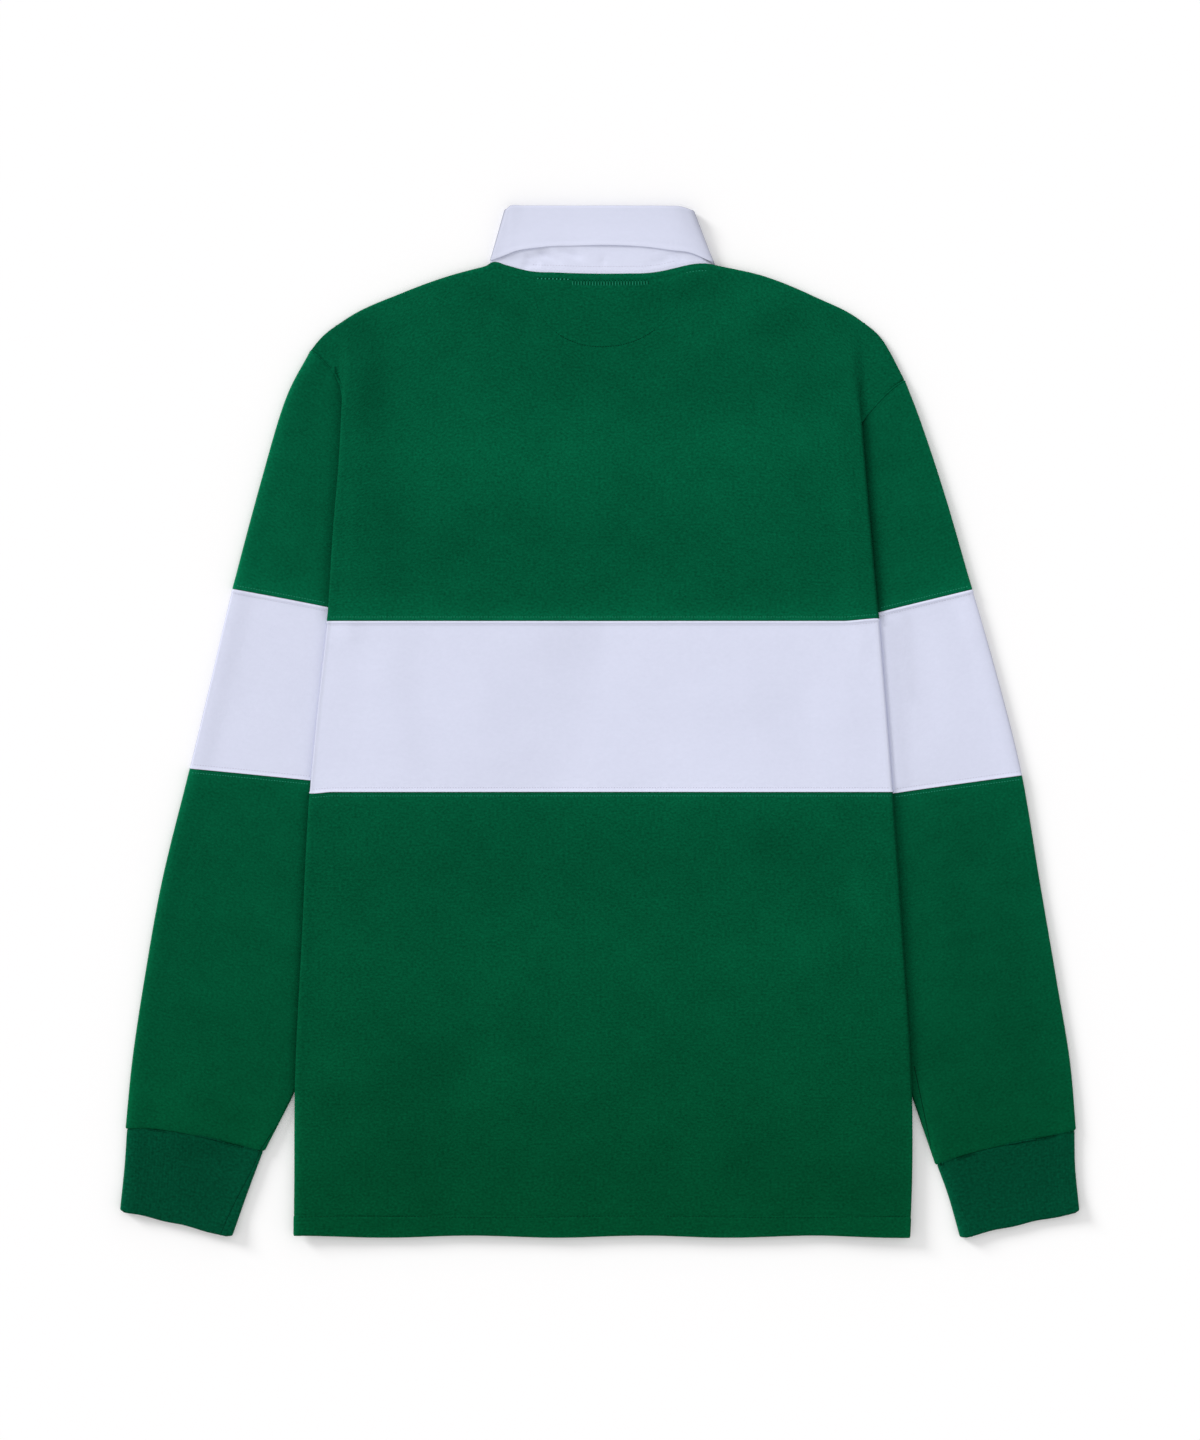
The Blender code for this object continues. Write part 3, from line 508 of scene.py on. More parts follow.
def through(keys: Sequence[float], values: Array | Sequence[float], at: Array | float) -> Array:
    """Reads the smooth curve through some values.

    Args:
        keys: Rising keys.
        values: A value, or a point, for each key.
        at: The keys at which to read it.

    Returns:
        The curve at those keys.
    """
    keys = np.asarray(keys, float)
    values = np.asarray(values, float)
    at = np.asarray(at, float)
    slopes = np.gradient(values, keys, axis=0)
    i = np.clip(np.searchsorted(keys, at) - 1, 0, len(keys) - 2)
    span = keys[i + 1] - keys[i]
    t = (at - keys[i]) / span
    if values.ndim > 1:
        span, t = span[..., None], t[..., None]
    start = (1 + 2 * t) * (1 - t) ** 2 * values[i] + t * (1 - t) ** 2 * span * slopes[i]
    end = t * t * (3 - 2 * t) * values[i + 1] + t * t * (t - 1) * span * slopes[i + 1]
    return start + end


def run_along(path: Array) -> Array:
    """How far along a path each of its points lies."""
    return np.concatenate([[0.0], np.cumsum(np.linalg.norm(np.diff(path, axis=0), axis=-1))])


def spaced(length: float, pitch: float, fine_at: Sequence[float] = (), reach: float = 3.0) -> Array:
    """Distances from 0 to a length, closer together near some places.

    Args:
        length: The last distance.
        pitch: How far apart they are elsewhere.
        fine_at: Where they are only FINE apart.
        reach: How far from such a place they stay so close.

    Returns:
        The distances, rising.
    """
    marks = np.linspace(0.0, length, max(2, round(length / pitch)) + 1)
    for place in fine_at:
        near = place + np.arange(-reach, reach + FINE / 2, FINE)
        near = near[(near >= 0.0) & (near <= length)]
        marks = np.concatenate([marks[np.abs(marks - place) > reach], near])
    marks = np.concatenate([marks, [0.0, length]])
    marks = np.unique(np.round(marks, 3))
    keep = np.concatenate([[True], np.diff(marks) > FINE / 4])
    keep[-1] = True
    return marks[keep]


@dataclass(frozen=True)
class Lay:
    """How the shirt lies: its outline in plan, and the height of each layer of cloth."""

    centre: float = CENTRE

    def side_edge(self, side: Side, up: Array | float) -> Array:
        """How far across the body's side lies at a height."""
        levels = BODY[::-1]
        return through([row.up for row in levels], [getattr(row, side.value) for row in levels], up)

    def top_edge(self, across: Array | float) -> Array:
        """The back's top edge.

        Args:
            across: Places across.

        Returns:
            The edge's height in plan at each.
        """
        across = np.asarray(across, float)
        parts = [
            through([spot.across for spot in run], [spot.up for spot in run], across)
            for run in (LEFT_SHOULDER, BACK_NECK, RIGHT_SHOULDER)
        ]
        left = across < BACK_NECK[0].across
        right = across > BACK_NECK[-1].across
        return np.where(left, parts[0], np.where(right, parts[2], parts[1]))

    def arm_point(
        self, sections: Sequence[Section], index: Array | float, share: Array | float
    ) -> tuple[Array, Array]:
        """A point of a flat sleeve in plan.

        Args:
            sections: The sleeve's sections.
            index: Where along the sleeve, counted in sections.
            share: 0 at the outer edge and 1 at the inner one.

        Returns:
            The point, with across and up in its last axis, and the sleeve's width there.
        """
        index, share = np.broadcast_arrays(np.asarray(index, float), np.asarray(share, float))
        steps = range(len(sections))
        outer_across, outer_up, inner_across, inner_up, bow = (
            through(steps, [row[column] for row in sections], index)
            for column in range(1, len(Section._fields))
        )
        across, up = inner_across - outer_across, inner_up - outer_up
        width = np.hypot(across, up)
        cuff_lean = LEFT_CUFF_LEAN if sections[0].outer_across < 0 else RIGHT_CUFF_LEAN
        lean = between(1.0, cuff_lean, 1 - step(index))
        if len(sections) > len(CUFFS[Side.LEFT]):
            lean = between(ARMHOLE_LEAN, 1.0, np.minimum(index, 1.0))
            lean = lean * between(1.0, cuff_lean, step(index - len(sections) + 2))
        rise = bow * np.sin(math.pi * np.clip(share, 0.0, 1.0) ** lean) / width
        rise = -rise * np.sign(outer_across)
        point = np.stack(
            [outer_across + share * across - rise * up, outer_up + share * up + rise * across], axis=-1
        )
        return point, width

    def sleeve_inner(self, side: Side, up: Array | float) -> Array:
        """The sleeve's inner edge, and above it the armhole.

        Args:
            side: Which sleeve.
            up: Heights in plan.

        Returns:
            How far across the edge lies at each.
        """
        edge = [(row.inner_up, row.inner_across) for row in CUFFS[side] + SLEEVES[side]]
        armhole, _ = self.arm_point(SLEEVES[side], 0.0, np.array(ARMHOLE_SHARES))
        edge += [(point[1], point[0]) for point in armhole]
        edge.sort()
        return np.interp(up, [row[0] for row in edge], [row[1] for row in edge])

    def on_sleeve(self, across: Array, up: Array, ramp: float = RAMP) -> Array:
        """How far the body has climbed onto the sleeves.

        Args:
            across: The points' places across.
            up: Their heights in plan.
            ramp: How wide the climb is.

        Returns:
            From 0, on the ground, to 1, on a sleeve.
        """
        left = self.sleeve_inner(Side.LEFT, up) - across
        right = across - self.sleeve_inner(Side.RIGHT, up)
        past = np.where(across < self.centre, left, right)
        return step((past + RAMP_AHEAD + ramp) / ramp)

    def inset(self, across: Array, up: Array) -> Array:
        """How far inside the nearer side of the body a point lies."""
        from_left = across - self.side_edge(Side.LEFT, up)
        return np.minimum(from_left, self.side_edge(Side.RIGHT, up) - across)

    def seam_shift(self, across: Array, up: Array | float) -> Array:
        """How far the sewing draws the cloth up near the ends of the band's two seams.

        Args:
            across: The points' places across.
            up: Their heights in plan.

        Returns:
            The shift of each, up in plan.
        """
        rise = TOP_SEAM_RISE * step((across - TOP_SEAM_FROM) / TOP_SEAM_RUN) - SEAM_NARROWS
        drop = FOOT_SEAM_DROP * step((FOOT_SEAM_FROM - across) / FOOT_SEAM_RUN) - SEAM_NARROWS
        return rise * bump(up - BAND_TOP, SEAM_DRAWS) - drop * bump(up - BAND_BOTTOM, SEAM_DRAWS)

    def fold_growth(self, up: Array | float) -> tuple[Array, Array]:
        """How far the fold at the back's side has risen and has turned under, from 0 to 1 each."""
        grown = (FOLD_HIGH - np.asarray(up, float)) / (FOLD_HIGH - FOLD_LOW)
        return step(2 * grown), step(2 * grown - 1)

    def chest_lift(self, across: Array, up: Array, lifts: Sequence[Lift] = LIFTS) -> Array:
        """How far the collar's front leaf, and the buttons down the chest, lift both panels.

        Args:
            across: The points' places across.
            up: Their heights in plan.
            lifts: The raised stretches.

        Returns:
            The lift at each point.
        """
        aside = np.abs(across - self.centre)
        shares = [
            step((lift.half_width - aside) / lift.side_slope) * step((up - lift.foot) / lift.foot_slope)
            for lift in lifts
        ]
        return CHEST_LIFT * np.maximum(*shares)

    def folds(self, across: Array, up: Array) -> Array:
        """The back's largest folds.

        Args:
            across: The points' places across.
            up: Their heights in plan.

        Returns:
            The height of the folds at each point.
        """
        total = np.zeros(np.broadcast(across, up).shape)
        for fold in FOLDS:
            share, away, _ = along_crease(fold, across, up)
            fade = 1 - RIDGE_FADE * np.minimum(1.0, np.abs(share))
            total += fold.height * np.exp(-RIDGE_SHARPNESS * (away / fold.width) ** 2) * fade
        return total

    def back_top(self, across: Array, up: Array) -> Array:
        """The back's outer face.

        Args:
            across: The points' places across.
            up: Their heights in plan.

        Returns:
            How high above the ground it lies at each point.
        """
        inside = self.inset(across, up)
        by_fold = step((FOLD_LIFTS - inside) / FOLD_SLOPE)
        by_fold = by_fold * step((up - FOLD_ENDS) / FOLD_END_RUN)
        lifted = self.fold_growth(up)[0] * np.maximum(self.on_sleeve(across, up, SOFT_RAMP), by_fold)
        edge = np.where(up < FOLD_HIGH, step(inside / FLAT_MARGIN), 1.0)
        edge = edge * step((self.top_edge(across) - up) / FLAT_MARGIN)
        curl = HEM_CURL * step(1 - (up - HEM) / HEM_CURL_RUN)
        curl = curl * between(SIDE_CURL, 1.0, step(inside / SIDE_CURL_RUN))
        lifted = self.chest_lift(across, up, SOFT_LIFTS) + OVER * lifted + curl
        return PAIR + lifted + self.folds(across, up) * edge

    def front_top(self, across: Array, up: Array) -> Array:
        """The height of the front's inner face, which looks up."""
        climb = step((CLIMB_FROM - up) / CLIMB_LENGTH)
        return CLOTH + self.chest_lift(across, up) + OVER * climb * self.on_sleeve(across, up)


LAY = Lay()


def along_crease(crease: Crease, across: Array, up: Array) -> tuple[Array, Array, Array]:
    """Where points lie along and beside a crease.

    Args:
        crease: The crease.
        across: The points' places across.
        up: The points' heights in plan.

    Returns:
        The share of the way along it, the distance from it, and the distance off its line.
    """
    start = np.array([crease.start_across, crease.start_up])
    run = np.array([crease.end_across, crease.end_up]) - start
    length = float(np.hypot(*run))
    share = ((across - start[0]) * run[0] + (up - start[1]) * run[1]) / length**2
    clipped = np.clip(share, 0.0, 1.0)
    aside = ((up - start[1]) * run[0] - (across - start[0]) * run[1]) / length
    aside = aside - crease.bend * 4 * clipped * (1 - clipped)
    past = (share - clipped) * length
    return share, np.hypot(aside, past), aside


def crease_relief(creases: Sequence[Crease], across: Array, up: Array) -> Array:
    """The height that creases add at some points.

    Args:
        creases: The creases.
        across: The points' places across.
        up: The points' heights in plan.

    Returns:
        The height at each point.
    """
    total = np.zeros(np.broadcast(across, up).shape)
    for number, crease in enumerate(creases):
        share, away, aside = along_crease(crease, across, up)
        inside = np.clip(share, 0.0, 1.0)
        ends = step(inside / CREASE_START) * step((1 - inside) / CREASE_END)
        uneven = 1 + CREASE_SWELL * np.sin(CREASE_TURNS * share + CREASE_PHASE * number)
        width = crease.width * np.where(aside > 0, SOFT_SIDE, STEEP_SIDE) * (1 + CREASE_WIDENS * share)
        total += crease.height * ends * uneven * bump(away, width)
    return total


def painted_patches(rows: Sequence[Crease], across: Array, up: Array) -> Array | float:
    """What soft painted patches of light and shade add to the cloth's colour at some points, in sum."""
    return sum(row.height * bump(along_crease(row, across, up)[1], row.width) for row in rows)


def painted_soft_shading(across: Array, up: Array) -> Array:
    """The factor on the cloth's colour from its painted patches of soft light and shade at some points."""
    return 1 + painted_patches(SOFT_LIGHT_AND_SHADE, across, up)


def ripple(across: Array, up: Array, seed: int, height: float) -> Array:
    """The slight unevenness of cloth that has been smoothed out by hand.

    Args:
        across: The points' places across.
        up: The points' heights in plan.
        seed: Which unevenness.
        height: About how high it is.

    Returns:
        The height at each point.
    """
    dice = np.random.default_rng(seed)
    total = np.zeros(np.broadcast(across, up).shape)
    for _ in range(RIPPLES):
        heading = dice.uniform(0.0, math.pi)
        length = dice.uniform(SHORTEST_RIPPLE, LONGEST_RIPPLE)
        turn = dice.uniform(0.0, 2 * math.pi)
        phase = (across * math.cos(heading) + up * math.sin(heading)) * 2 * math.pi / length + turn
        total += np.sin(phase) * length / USUAL_RIPPLE
    return total * height / math.sqrt(RIPPLES)


class Swell(NamedTuple):
    """A rounded rise beside a seam or hem, or a dip where its height is below 0."""

    height: float
    away: float
    width: float


class Ledge(NamedTuple):
    """A raised strip from a seam or hem to where it ends, with a slope before that."""

    height: float
    end: float
    slope: float


def swelling(swells: Sequence[Swell], away: Array) -> Array | float:
    """The height that swells add at a distance from their seam or hem."""
    return sum(swell.height * bump(away - swell.away, swell.width) for swell in swells)


@dataclass(frozen=True)
class End:
    """The cloth beside a row end: its form, how much lighter its colour is beside it, and how dark the seam
    line is.
    """

    swells: tuple[Swell, ...]
    ledge: Ledge = Ledge(0.0, 0.0, 1.0)
    lighter: float = 0.0
    lighter_reach: float = 1.0
    deep: float = 0.0
    deep_width: float = 0.9


class Hem(Enum):
    """How a row end of a panel is finished. A soft armhole's seam hardly shows."""

    ABOVE_BAND = End((Swell(-0.3, 0.0, 0.4),), Ledge(0.4, 8.0, 8.0), lighter=0.34, lighter_reach=8.0)
    BAND_TOP = End((Swell(0.75, 1.2, 0.9), Swell(-0.12, 3.4, 0.9)))
    BAND_FOOT = End((Swell(-0.1, 3.6, 0.8),), Ledge(0.5, 2.4, 2.4))
    BELOW_BAND = End((Swell(0.2, 8.0, 5.5), Swell(-0.1, 0.0, 0.4)), lighter=0.15, lighter_reach=10.0)
    DARK_SEAM = End((Swell(0.1, 3.0, 1.6), Swell(-0.2, 0.0, 0.8)), deep=0.18)
    ARMHOLE = End((Swell(0.1, 3.0, 2.0), Swell(-0.2, 0.0, 0.7)), deep=0.16)
    SOFT_ARMHOLE = End((Swell(-0.08, 0.0, 0.7),), deep=0.04)
    TURNED = End((Swell(-0.32, HEM_TURN, 0.9), Swell(-0.45, 0.0, 0.7)), Ledge(0.3, HEM_TURN, 2.0))
    FOLDED = End((Swell(-0.5, 0.0, 0.8),))

    def relief(self, away: Array) -> Array:
        """The rise and dip of the cloth at a distance from the end."""
        ledge = self.value.ledge
        return ledge.height * step((ledge.end - away) / ledge.slope) + swelling(self.value.swells, away)

    def tone(self, away: Array) -> Array:
        """The factor on the colour beside the end.

        Args:
            away: The distance from it.

        Returns:
            The factor at each distance.
        """
        end = self.value
        lighter = 1 + faded(((end.lighter, end.lighter_reach),), away)
        return lighter * (1 - end.deep * bump(away, end.deep_width))


@dataclass(frozen=True)
class Arm:
    """What differs between the two sleeves. A pair of sizes holds above the band and below it."""

    armhole: Hem
    sunk_seam: float
    cuff_curl: float
    press_widths: tuple[float, float]
    press_end: float
    band_rise: float
    band_shade: float
    shades: tuple[float, float]
    shade_reaches: tuple[float, float]


# Each sleeve's shades, shade reaches and band shade are painted shadow beside the body
ARMS = {
    Side.LEFT: Arm(
        Hem.SOFT_ARMHOLE, sunk_seam=-0.45, cuff_curl=2.7, press_widths=(4.6, 2.2), press_end=SLEEVE_LEAVES,
        band_rise=0.0, band_shade=0.02, shades=(0.16, 0.16), shade_reaches=(4.0, 2.0),
    ),
    Side.RIGHT: Arm(
        Hem.ARMHOLE, sunk_seam=-0.7, cuff_curl=1.8, press_widths=(2.0, 2.0), press_end=BAND_TOP,
        band_rise=1.5, band_shade=0.0, shades=(0.5, 0.3), shade_reaches=(4.2, 2.4),
    ),
}

# The facing strip inside the back neck, which shows through as a strip, a line and a soft edge
NECK_STRIP = (Swell(0.3, 2.0, 2.4), Swell(-0.25, 5.2, 0.7), Swell(0.15, 9.0, 2.5))
NECK_LEFT, NECK_RIGHT = -88.0, 90.5

# The painted highlight along the hem and along the shoulders' edge, as strengths and reaches
HEM_LIGHT = ((0.25, 1.6),)
TOP_LIGHT = ((0.18, 3.0),)

# How much of a relief is left on the walls of a folded side
WALL_RELIEF = 0.3

# How deep the painted shade on a white cloth's steep walls is, which keeps them from throwing light on the
# floor, and how upright those walls are
WALL_SHADE_DEPTH, WALL_UPRIGHT = 0.6, 0.4

# How high and wide the painted highlight beside an edge is, where light wraps round it, away from the window
# and towards it
PAINTED_RIM_HEIGHTS, PAINTED_RIM_WIDTHS = (0.34, 0.6), (2.2, 4.4)


def painted_wall_shade(points: Array) -> Array:
    """Painted shade on a white cloth's steep walls, as a factor on its colour, so that they throw less light
    on the floor.
    """
    return 1 - WALL_SHADE_DEPTH * bump(normals(points)[..., 2], WALL_UPRIGHT)


def on_band(up: Array, run: float) -> Array:
    """Whether a height is on the white band, from 0 to 1, with a slope by each of its seams."""
    return step((BAND_TOP + BAND_MARGIN - up) / run) * step((up - BAND_BOTTOM + BAND_MARGIN) / run)


def hem_wave(across: Array, share: Array) -> Array:
    """The shift up in plan by which the hem wavers, at a share of the way down its panel."""
    return HEM_WAVE * np.sin(across / HEM_WAVE_RUN) * step((share - HEM_WAVES_FROM) / HEM_WAVES_OVER)


def normals(points: Array) -> Array:
    """The outward directions of a grid.

    Args:
        points: Its points, whose rows run down and columns right.

    Returns:
        The direction at each point, of length 1.
    """
    down = np.gradient(points, axis=0)
    right = np.gradient(points, axis=1)
    out = np.cross(down, right)
    return out / np.maximum(np.linalg.norm(out, axis=-1, keepdims=True), 1e-9)


def painted_rim_light(away: Array, facing: float) -> Array:
    """How much lighter a painted highlight makes the cloth beside a folded edge, where light wraps round it.

    Args:
        away: The distance from the edge.
        facing: From -1, an edge that looks right, to 1, one that looks left to the window.

    Returns:
        The factor on the cloth's colour.
    """
    wide = between(*PAINTED_RIM_WIDTHS, (facing + 1) / 2)
    high = between(*PAINTED_RIM_HEIGHTS, (facing + 1) / 2)
    return 1 + faded(((high, wide),), away)


@dataclass
class Grid:
    """A sheet of points in rows and columns, in millimetres, and its place in the flat cloth."""

    points: Array
    flat: Array
    shade: Array | float = 1.0

    @classmethod
    def from_points(cls, points: Array, middle: int) -> "Grid":
        """Unrolls a grid.

        Args:
            points: The points, in rows that run down.
            middle: The column that is 0 across the flat cloth.

        Returns:
            The grid with its flat places.
        """
        sideways = np.linalg.norm(np.diff(points, axis=1), axis=-1)
        run = np.concatenate([np.zeros((len(points), 1)), np.cumsum(sideways, axis=1)], axis=1)
        run = run - run[:, middle : middle + 1]
        along = run_along(points[:, middle])
        flat = np.stack([run, np.broadcast_to(-along[:, None], run.shape)], axis=-1)
        return cls(points, flat)

    @classmethod
    def from_plan(cls, points: Array, heading: float, turned: Array | None = None) -> "Grid":
        """Takes the flat places straight from the plan, turned so that the cloth's length runs up.

        Args:
            points: The points, in rows that run down.
            heading: The direction in plan in which the cloth's length runs, in radians.
            turned: For each column, whether it lies on the underside.

        Returns:
            The grid with its flat places.
        """
        x, y = points[..., 0], points[..., 1]
        along = x * math.cos(heading) + y * math.sin(heading)
        sideways = x * math.sin(heading) - y * math.cos(heading)
        if turned is not None:
            sideways = np.where(turned, -sideways - UNDERSIDE_AWAY, sideways)
        return cls(points, np.stack([sideways, along], axis=-1))

    def area(self) -> float:
        """The cloth's area.

        Returns:
            The area, in square metres.
        """
        down = np.diff(self.points, axis=0)
        right = np.diff(self.points, axis=1)
        cells = np.cross((down[:, :-1] + down[:, 1:]) / 2, (right[:-1] + right[1:]) / 2)
        return float(np.linalg.norm(cells, axis=-1).sum()) * MM * MM

    def reach(self) -> tuple[float, float]:
        """The size of the flat cut.

        Returns:
            Its width and its length, in metres.
        """
        width = np.linalg.norm(np.diff(self.points, axis=1), axis=-1).sum(axis=1).max()
        length = np.linalg.norm(np.diff(self.points, axis=0), axis=-1).sum(axis=0).max()
        return float(width) * MM, float(length) * MM


def put(name: str, data: bpy.types.ID) -> bpy.types.Object:
    """Puts a mesh, light or camera into the scene.

    Args:
        name: The name of its object.
        data: What it shows.

    Returns:
        The object.
    """
    piece = bpy.data.objects.new(name, data)
    bpy.context.scene.collection.objects.link(piece)
    return piece


def apply_modifier(piece: bpy.types.Object, name: str) -> None:
    """Applies one modifier.

    Args:
        piece: The piece.
        name: The modifier's name.
    """
    bpy.ops.object.select_all(action="DESELECT")
    bpy.context.view_layer.objects.active = piece
    piece.select_set(True)
    bpy.ops.object.modifier_apply(modifier=name)
    piece.select_set(False)


def mesh_from(name: str, grids: Sequence[Grid]) -> bpy.types.Mesh:
    """Makes one mesh from grids, with their flat places and their shade.

    Args:
        name: The mesh's name.
        grids: Grids that meet point to point.

    Returns:
        The mesh.
    """
    quads: list[Array] = []
    count = 0
    for grid in grids:
        rows, columns = grid.points.shape[:2]
        ids = np.arange(rows * columns).reshape(rows, columns) + count
        count += rows * columns
        corners = ids[:-1, :-1], ids[1:, :-1], ids[1:, 1:], ids[:-1, 1:]
        quads.append(np.stack(corners, axis=-1).reshape(-1, 4))
    faces = np.concatenate(quads)
    points = np.concatenate([grid.points.reshape(-1, 3) for grid in grids]) * MM
    flat = np.concatenate([grid.flat.reshape(-1, 2) for grid in grids]) * MM
    shade = np.concatenate([np.broadcast_to(grid.shade, grid.points.shape[:2]).ravel() for grid in grids])
    mesh = bpy.data.meshes.new(name)
    mesh.from_pydata(points.tolist(), [], faces.tolist())
    layer = mesh.uv_layers.new(name="cloth")
    layer.data.foreach_set("uv", flat[faces.reshape(-1)].astype(np.float32).ravel())
    tone = mesh.attributes.new("shade", "FLOAT", "POINT")
    tone.data.foreach_set("value", shade.astype(np.float32))
    bm = bmesh.new()
    bm.from_mesh(mesh)
    bmesh.ops.remove_doubles(bm, verts=bm.verts, dist=MERGE * MM)
    bm.to_mesh(mesh)
    bm.free()
    return mesh


def sew(
    name: str, grids: Sequence[Grid], finish: bpy.types.Material, offset: float = -1.0
) -> bpy.types.Object:
    """Makes one shell of cloth from its grids.

    Args:
        name: The piece's name.
        grids: Grids of its outer face, which meet point to point.
        finish: Its material.
        offset: -1 puts the thickness inside the grids, and 0 on both sides.

    Returns:
        The piece, with its wall, and with nothing of it below the ground.
    """
    mesh = mesh_from(name, grids)
    mesh.materials.append(finish)
    mesh.shade_smooth()
    piece = put(name, mesh)
    wall = piece.modifiers.new("wall", "SOLIDIFY")
    wall.thickness = CLOTH * MM
    wall.offset = offset
    apply_modifier(piece, "wall")
    places = np.zeros(3 * len(piece.data.vertices), np.float32)
    piece.data.vertices.foreach_get("co", places)
    places[2::3] = np.maximum(places[2::3], 0.0)
    piece.data.vertices.foreach_set("co", places)
    return piece


def dress(piece: bpy.types.Object, nodes: Sequence[str], slot: str) -> None:
    """Lets a piece stand for its nodes and ride with them.

    Args:
        piece: The piece.
        nodes: The nodes that it stands for.
        slot: The slot that it takes its finish from.
    """
    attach(piece, "root")
    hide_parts(*nodes)
    faces = sum(len(face.vertices) - 2 for face in piece.data.polygons)
    LOG.info("%s: %d triangles, slot %s", piece.name, faces, slot)


def declare(piece: bpy.types.Object, grids: Sequence[Grid]) -> None:
    """Says how large the flat cut of a piece of cloth is.

    Args:
        piece: The piece.
        grids: The grids that it was made from.
    """
    width = grids[0].reach()[0] if len(grids) == 1 else sum_width(grids)
    length = max(grid.reach()[1] for grid in grids)
    area = min(sum(grid.area() for grid in grids), width * length)
    LOG.info("%s: cut %.0f x %.0f mm, %.4f m2", piece.name, width / MM, length / MM, area)


def sum_width(grids: Sequence[Grid]) -> float:
    """The width of a cut that is made of several grids side by side.

    Args:
        grids: The grids.

    Returns:
        The width, in metres, with what is folded under at both sides.
    """
    low = min(float(grid.points[..., 0].min()) for grid in grids)
    high = max(float(grid.points[..., 0].max()) for grid in grids)
    return (high - low) * MM + 2 * RETURN * MM


# Finishes

HALF = 0.5


class Value:
    """A number in a shader. Arithmetic on it adds Math nodes."""

    def __init__(self, nodes: "Nodes", socket: bpy.types.NodeSocket) -> None:
        """Keeps the socket that gives the number, and what makes nodes in its tree."""
        self.nodes = nodes
        self.socket = socket

    def __add__(self, other: "Value | float") -> "Value":
        """The sum."""
        return self.nodes.maths("ADD", self, other)

    def __radd__(self, other: float) -> "Value":
        """The sum, with a plain number first."""
        return self.nodes.maths("ADD", other, self)

    def __sub__(self, other: "Value | float") -> "Value":
        """The difference."""
        return self.nodes.maths("SUBTRACT", self, other)

    def __rsub__(self, other: float) -> "Value":
        """A plain number less this one."""
        return self.nodes.maths("SUBTRACT", other, self)

    def __mul__(self, other: "Value | float") -> "Value":
        """The product."""
        return self.nodes.maths("MULTIPLY", self, other)

    def __pow__(self, power: float) -> "Value":
        """A power."""
        return self.nodes.maths("POWER", self, power)

    def off_middle(self) -> "Value":
        """How far its fraction lies from a half."""
        return self.nodes.maths("ABSOLUTE", self.nodes.maths("FRACT", self) - HALF)

    def clamped(self) -> "Value":
        """The number, but no less than 0 and no more than 1."""
        return self.nodes.maths("MAXIMUM", self.nodes.maths("MINIMUM", self, 1.0), 0.0)


class Nodes:
    """A short hand for making shader nodes."""

    def __init__(self, tree: bpy.types.NodeTree) -> None:
        """Keeps the tree that nodes are added to."""
        self.tree = tree

    def add(self, kind: str, inputs: dict[str, object] | None = None, **settings: object) -> bpy.types.Node:
        """Adds a node, and sets its properties and inputs.

        Args:
            kind: The node's type.
            inputs: What feeds its inputs, by their names.
            **settings: Its properties.

        Returns:
            The node.
        """
        node = self.tree.nodes.new(kind)
        for key, value in settings.items():
            setattr(node, key, value)
        for key, value in (inputs or {}).items():
            self.feed(node.inputs[key], value)
        return node

    def feed(self, socket: bpy.types.NodeSocket, value: object) -> None:
        """Feeds a socket.

        Args:
            socket: The socket.
            value: Another socket or a Value to link it to, or what to set it to.
        """
        value = value.socket if isinstance(value, Value) else value
        if isinstance(value, bpy.types.NodeSocket):
            self.tree.links.new(value, socket)
        else:
            socket.default_value = value

    def read(self, node: bpy.types.Node, output: str | int) -> Value:
        """The number that an output of a node gives."""
        return Value(self, node.outputs[output])

    def maths(self, operation: str, *values: object) -> Value:
        """Adds a Math node.

        Args:
            operation: Its operation.
            *values: A Value or number for each input.

        Returns:
            Its output.
        """
        node = self.add("ShaderNodeMath", operation=operation)
        for socket, value in zip(node.inputs, values):
            self.feed(socket, value)
        return self.read(node, 0)

    def mix(self, share: object, low: object, high: object) -> bpy.types.NodeSocket:
        """Mixes two colours.

        Args:
            share: A Value or number, from 0 to 1.
            low: The colour at 0.
            high: The colour at 1.

        Returns:
            The mixed colour.
        """
        node = self.add("ShaderNodeMix", data_type="RGBA")
        for index, value in zip((0, 6, 7), (share, low, high)):
            self.feed(node.inputs[index], value)
        return node.outputs[2]

    def waver(self, place: object, scale: float, **more: float) -> Value:
        """Adds an even noise from 0 to 1, read at a place, with its scale and its other inputs."""
        inputs = {"Vector": place, "Scale": scale, **more}
        return self.read(self.add("ShaderNodeTexNoise", inputs, noise_dimensions="3D"), "Fac")


class Group:
    """A node group under way, which reads a vector and gives numbers."""

    def __init__(self, name: str, inputs: dict[str, float], outputs: Sequence[str]) -> None:
        """Starts the group.

        Args:
            name: Its name.
            inputs: Its number inputs and their usual values.
            outputs: Its number outputs.
        """
        self.tree = bpy.data.node_groups.new(name, "ShaderNodeTree")
        self.tree.interface.new_socket("Vector", in_out="INPUT", socket_type="NodeSocketVector")
        for key, value in inputs.items():
            socket = self.tree.interface.new_socket(key, in_out="INPUT", socket_type="NodeSocketFloat")
            socket.default_value = value
        for key in outputs:
            self.tree.interface.new_socket(key, in_out="OUTPUT", socket_type="NodeSocketFloat")
        self.nodes = Nodes(self.tree)
        self.given = self.nodes.add("NodeGroupInput")
        self.out = self.nodes.add("NodeGroupOutput")
        self.place = self.given.outputs["Vector"]

    def value(self, name: str) -> Value:
        """One of its number inputs."""
        return self.nodes.read(self.given, name)

    def along(self) -> tuple[Value, Value]:
        """The first two parts of its vector."""
        split = self.nodes.add("ShaderNodeSeparateXYZ", {"Vector": self.place})
        return self.nodes.read(split, 0), self.nodes.read(split, 1)

    def give(self, name: str, value: object) -> None:
        """Feeds one of its outputs."""
        self.nodes.feed(self.out.inputs[name], value)


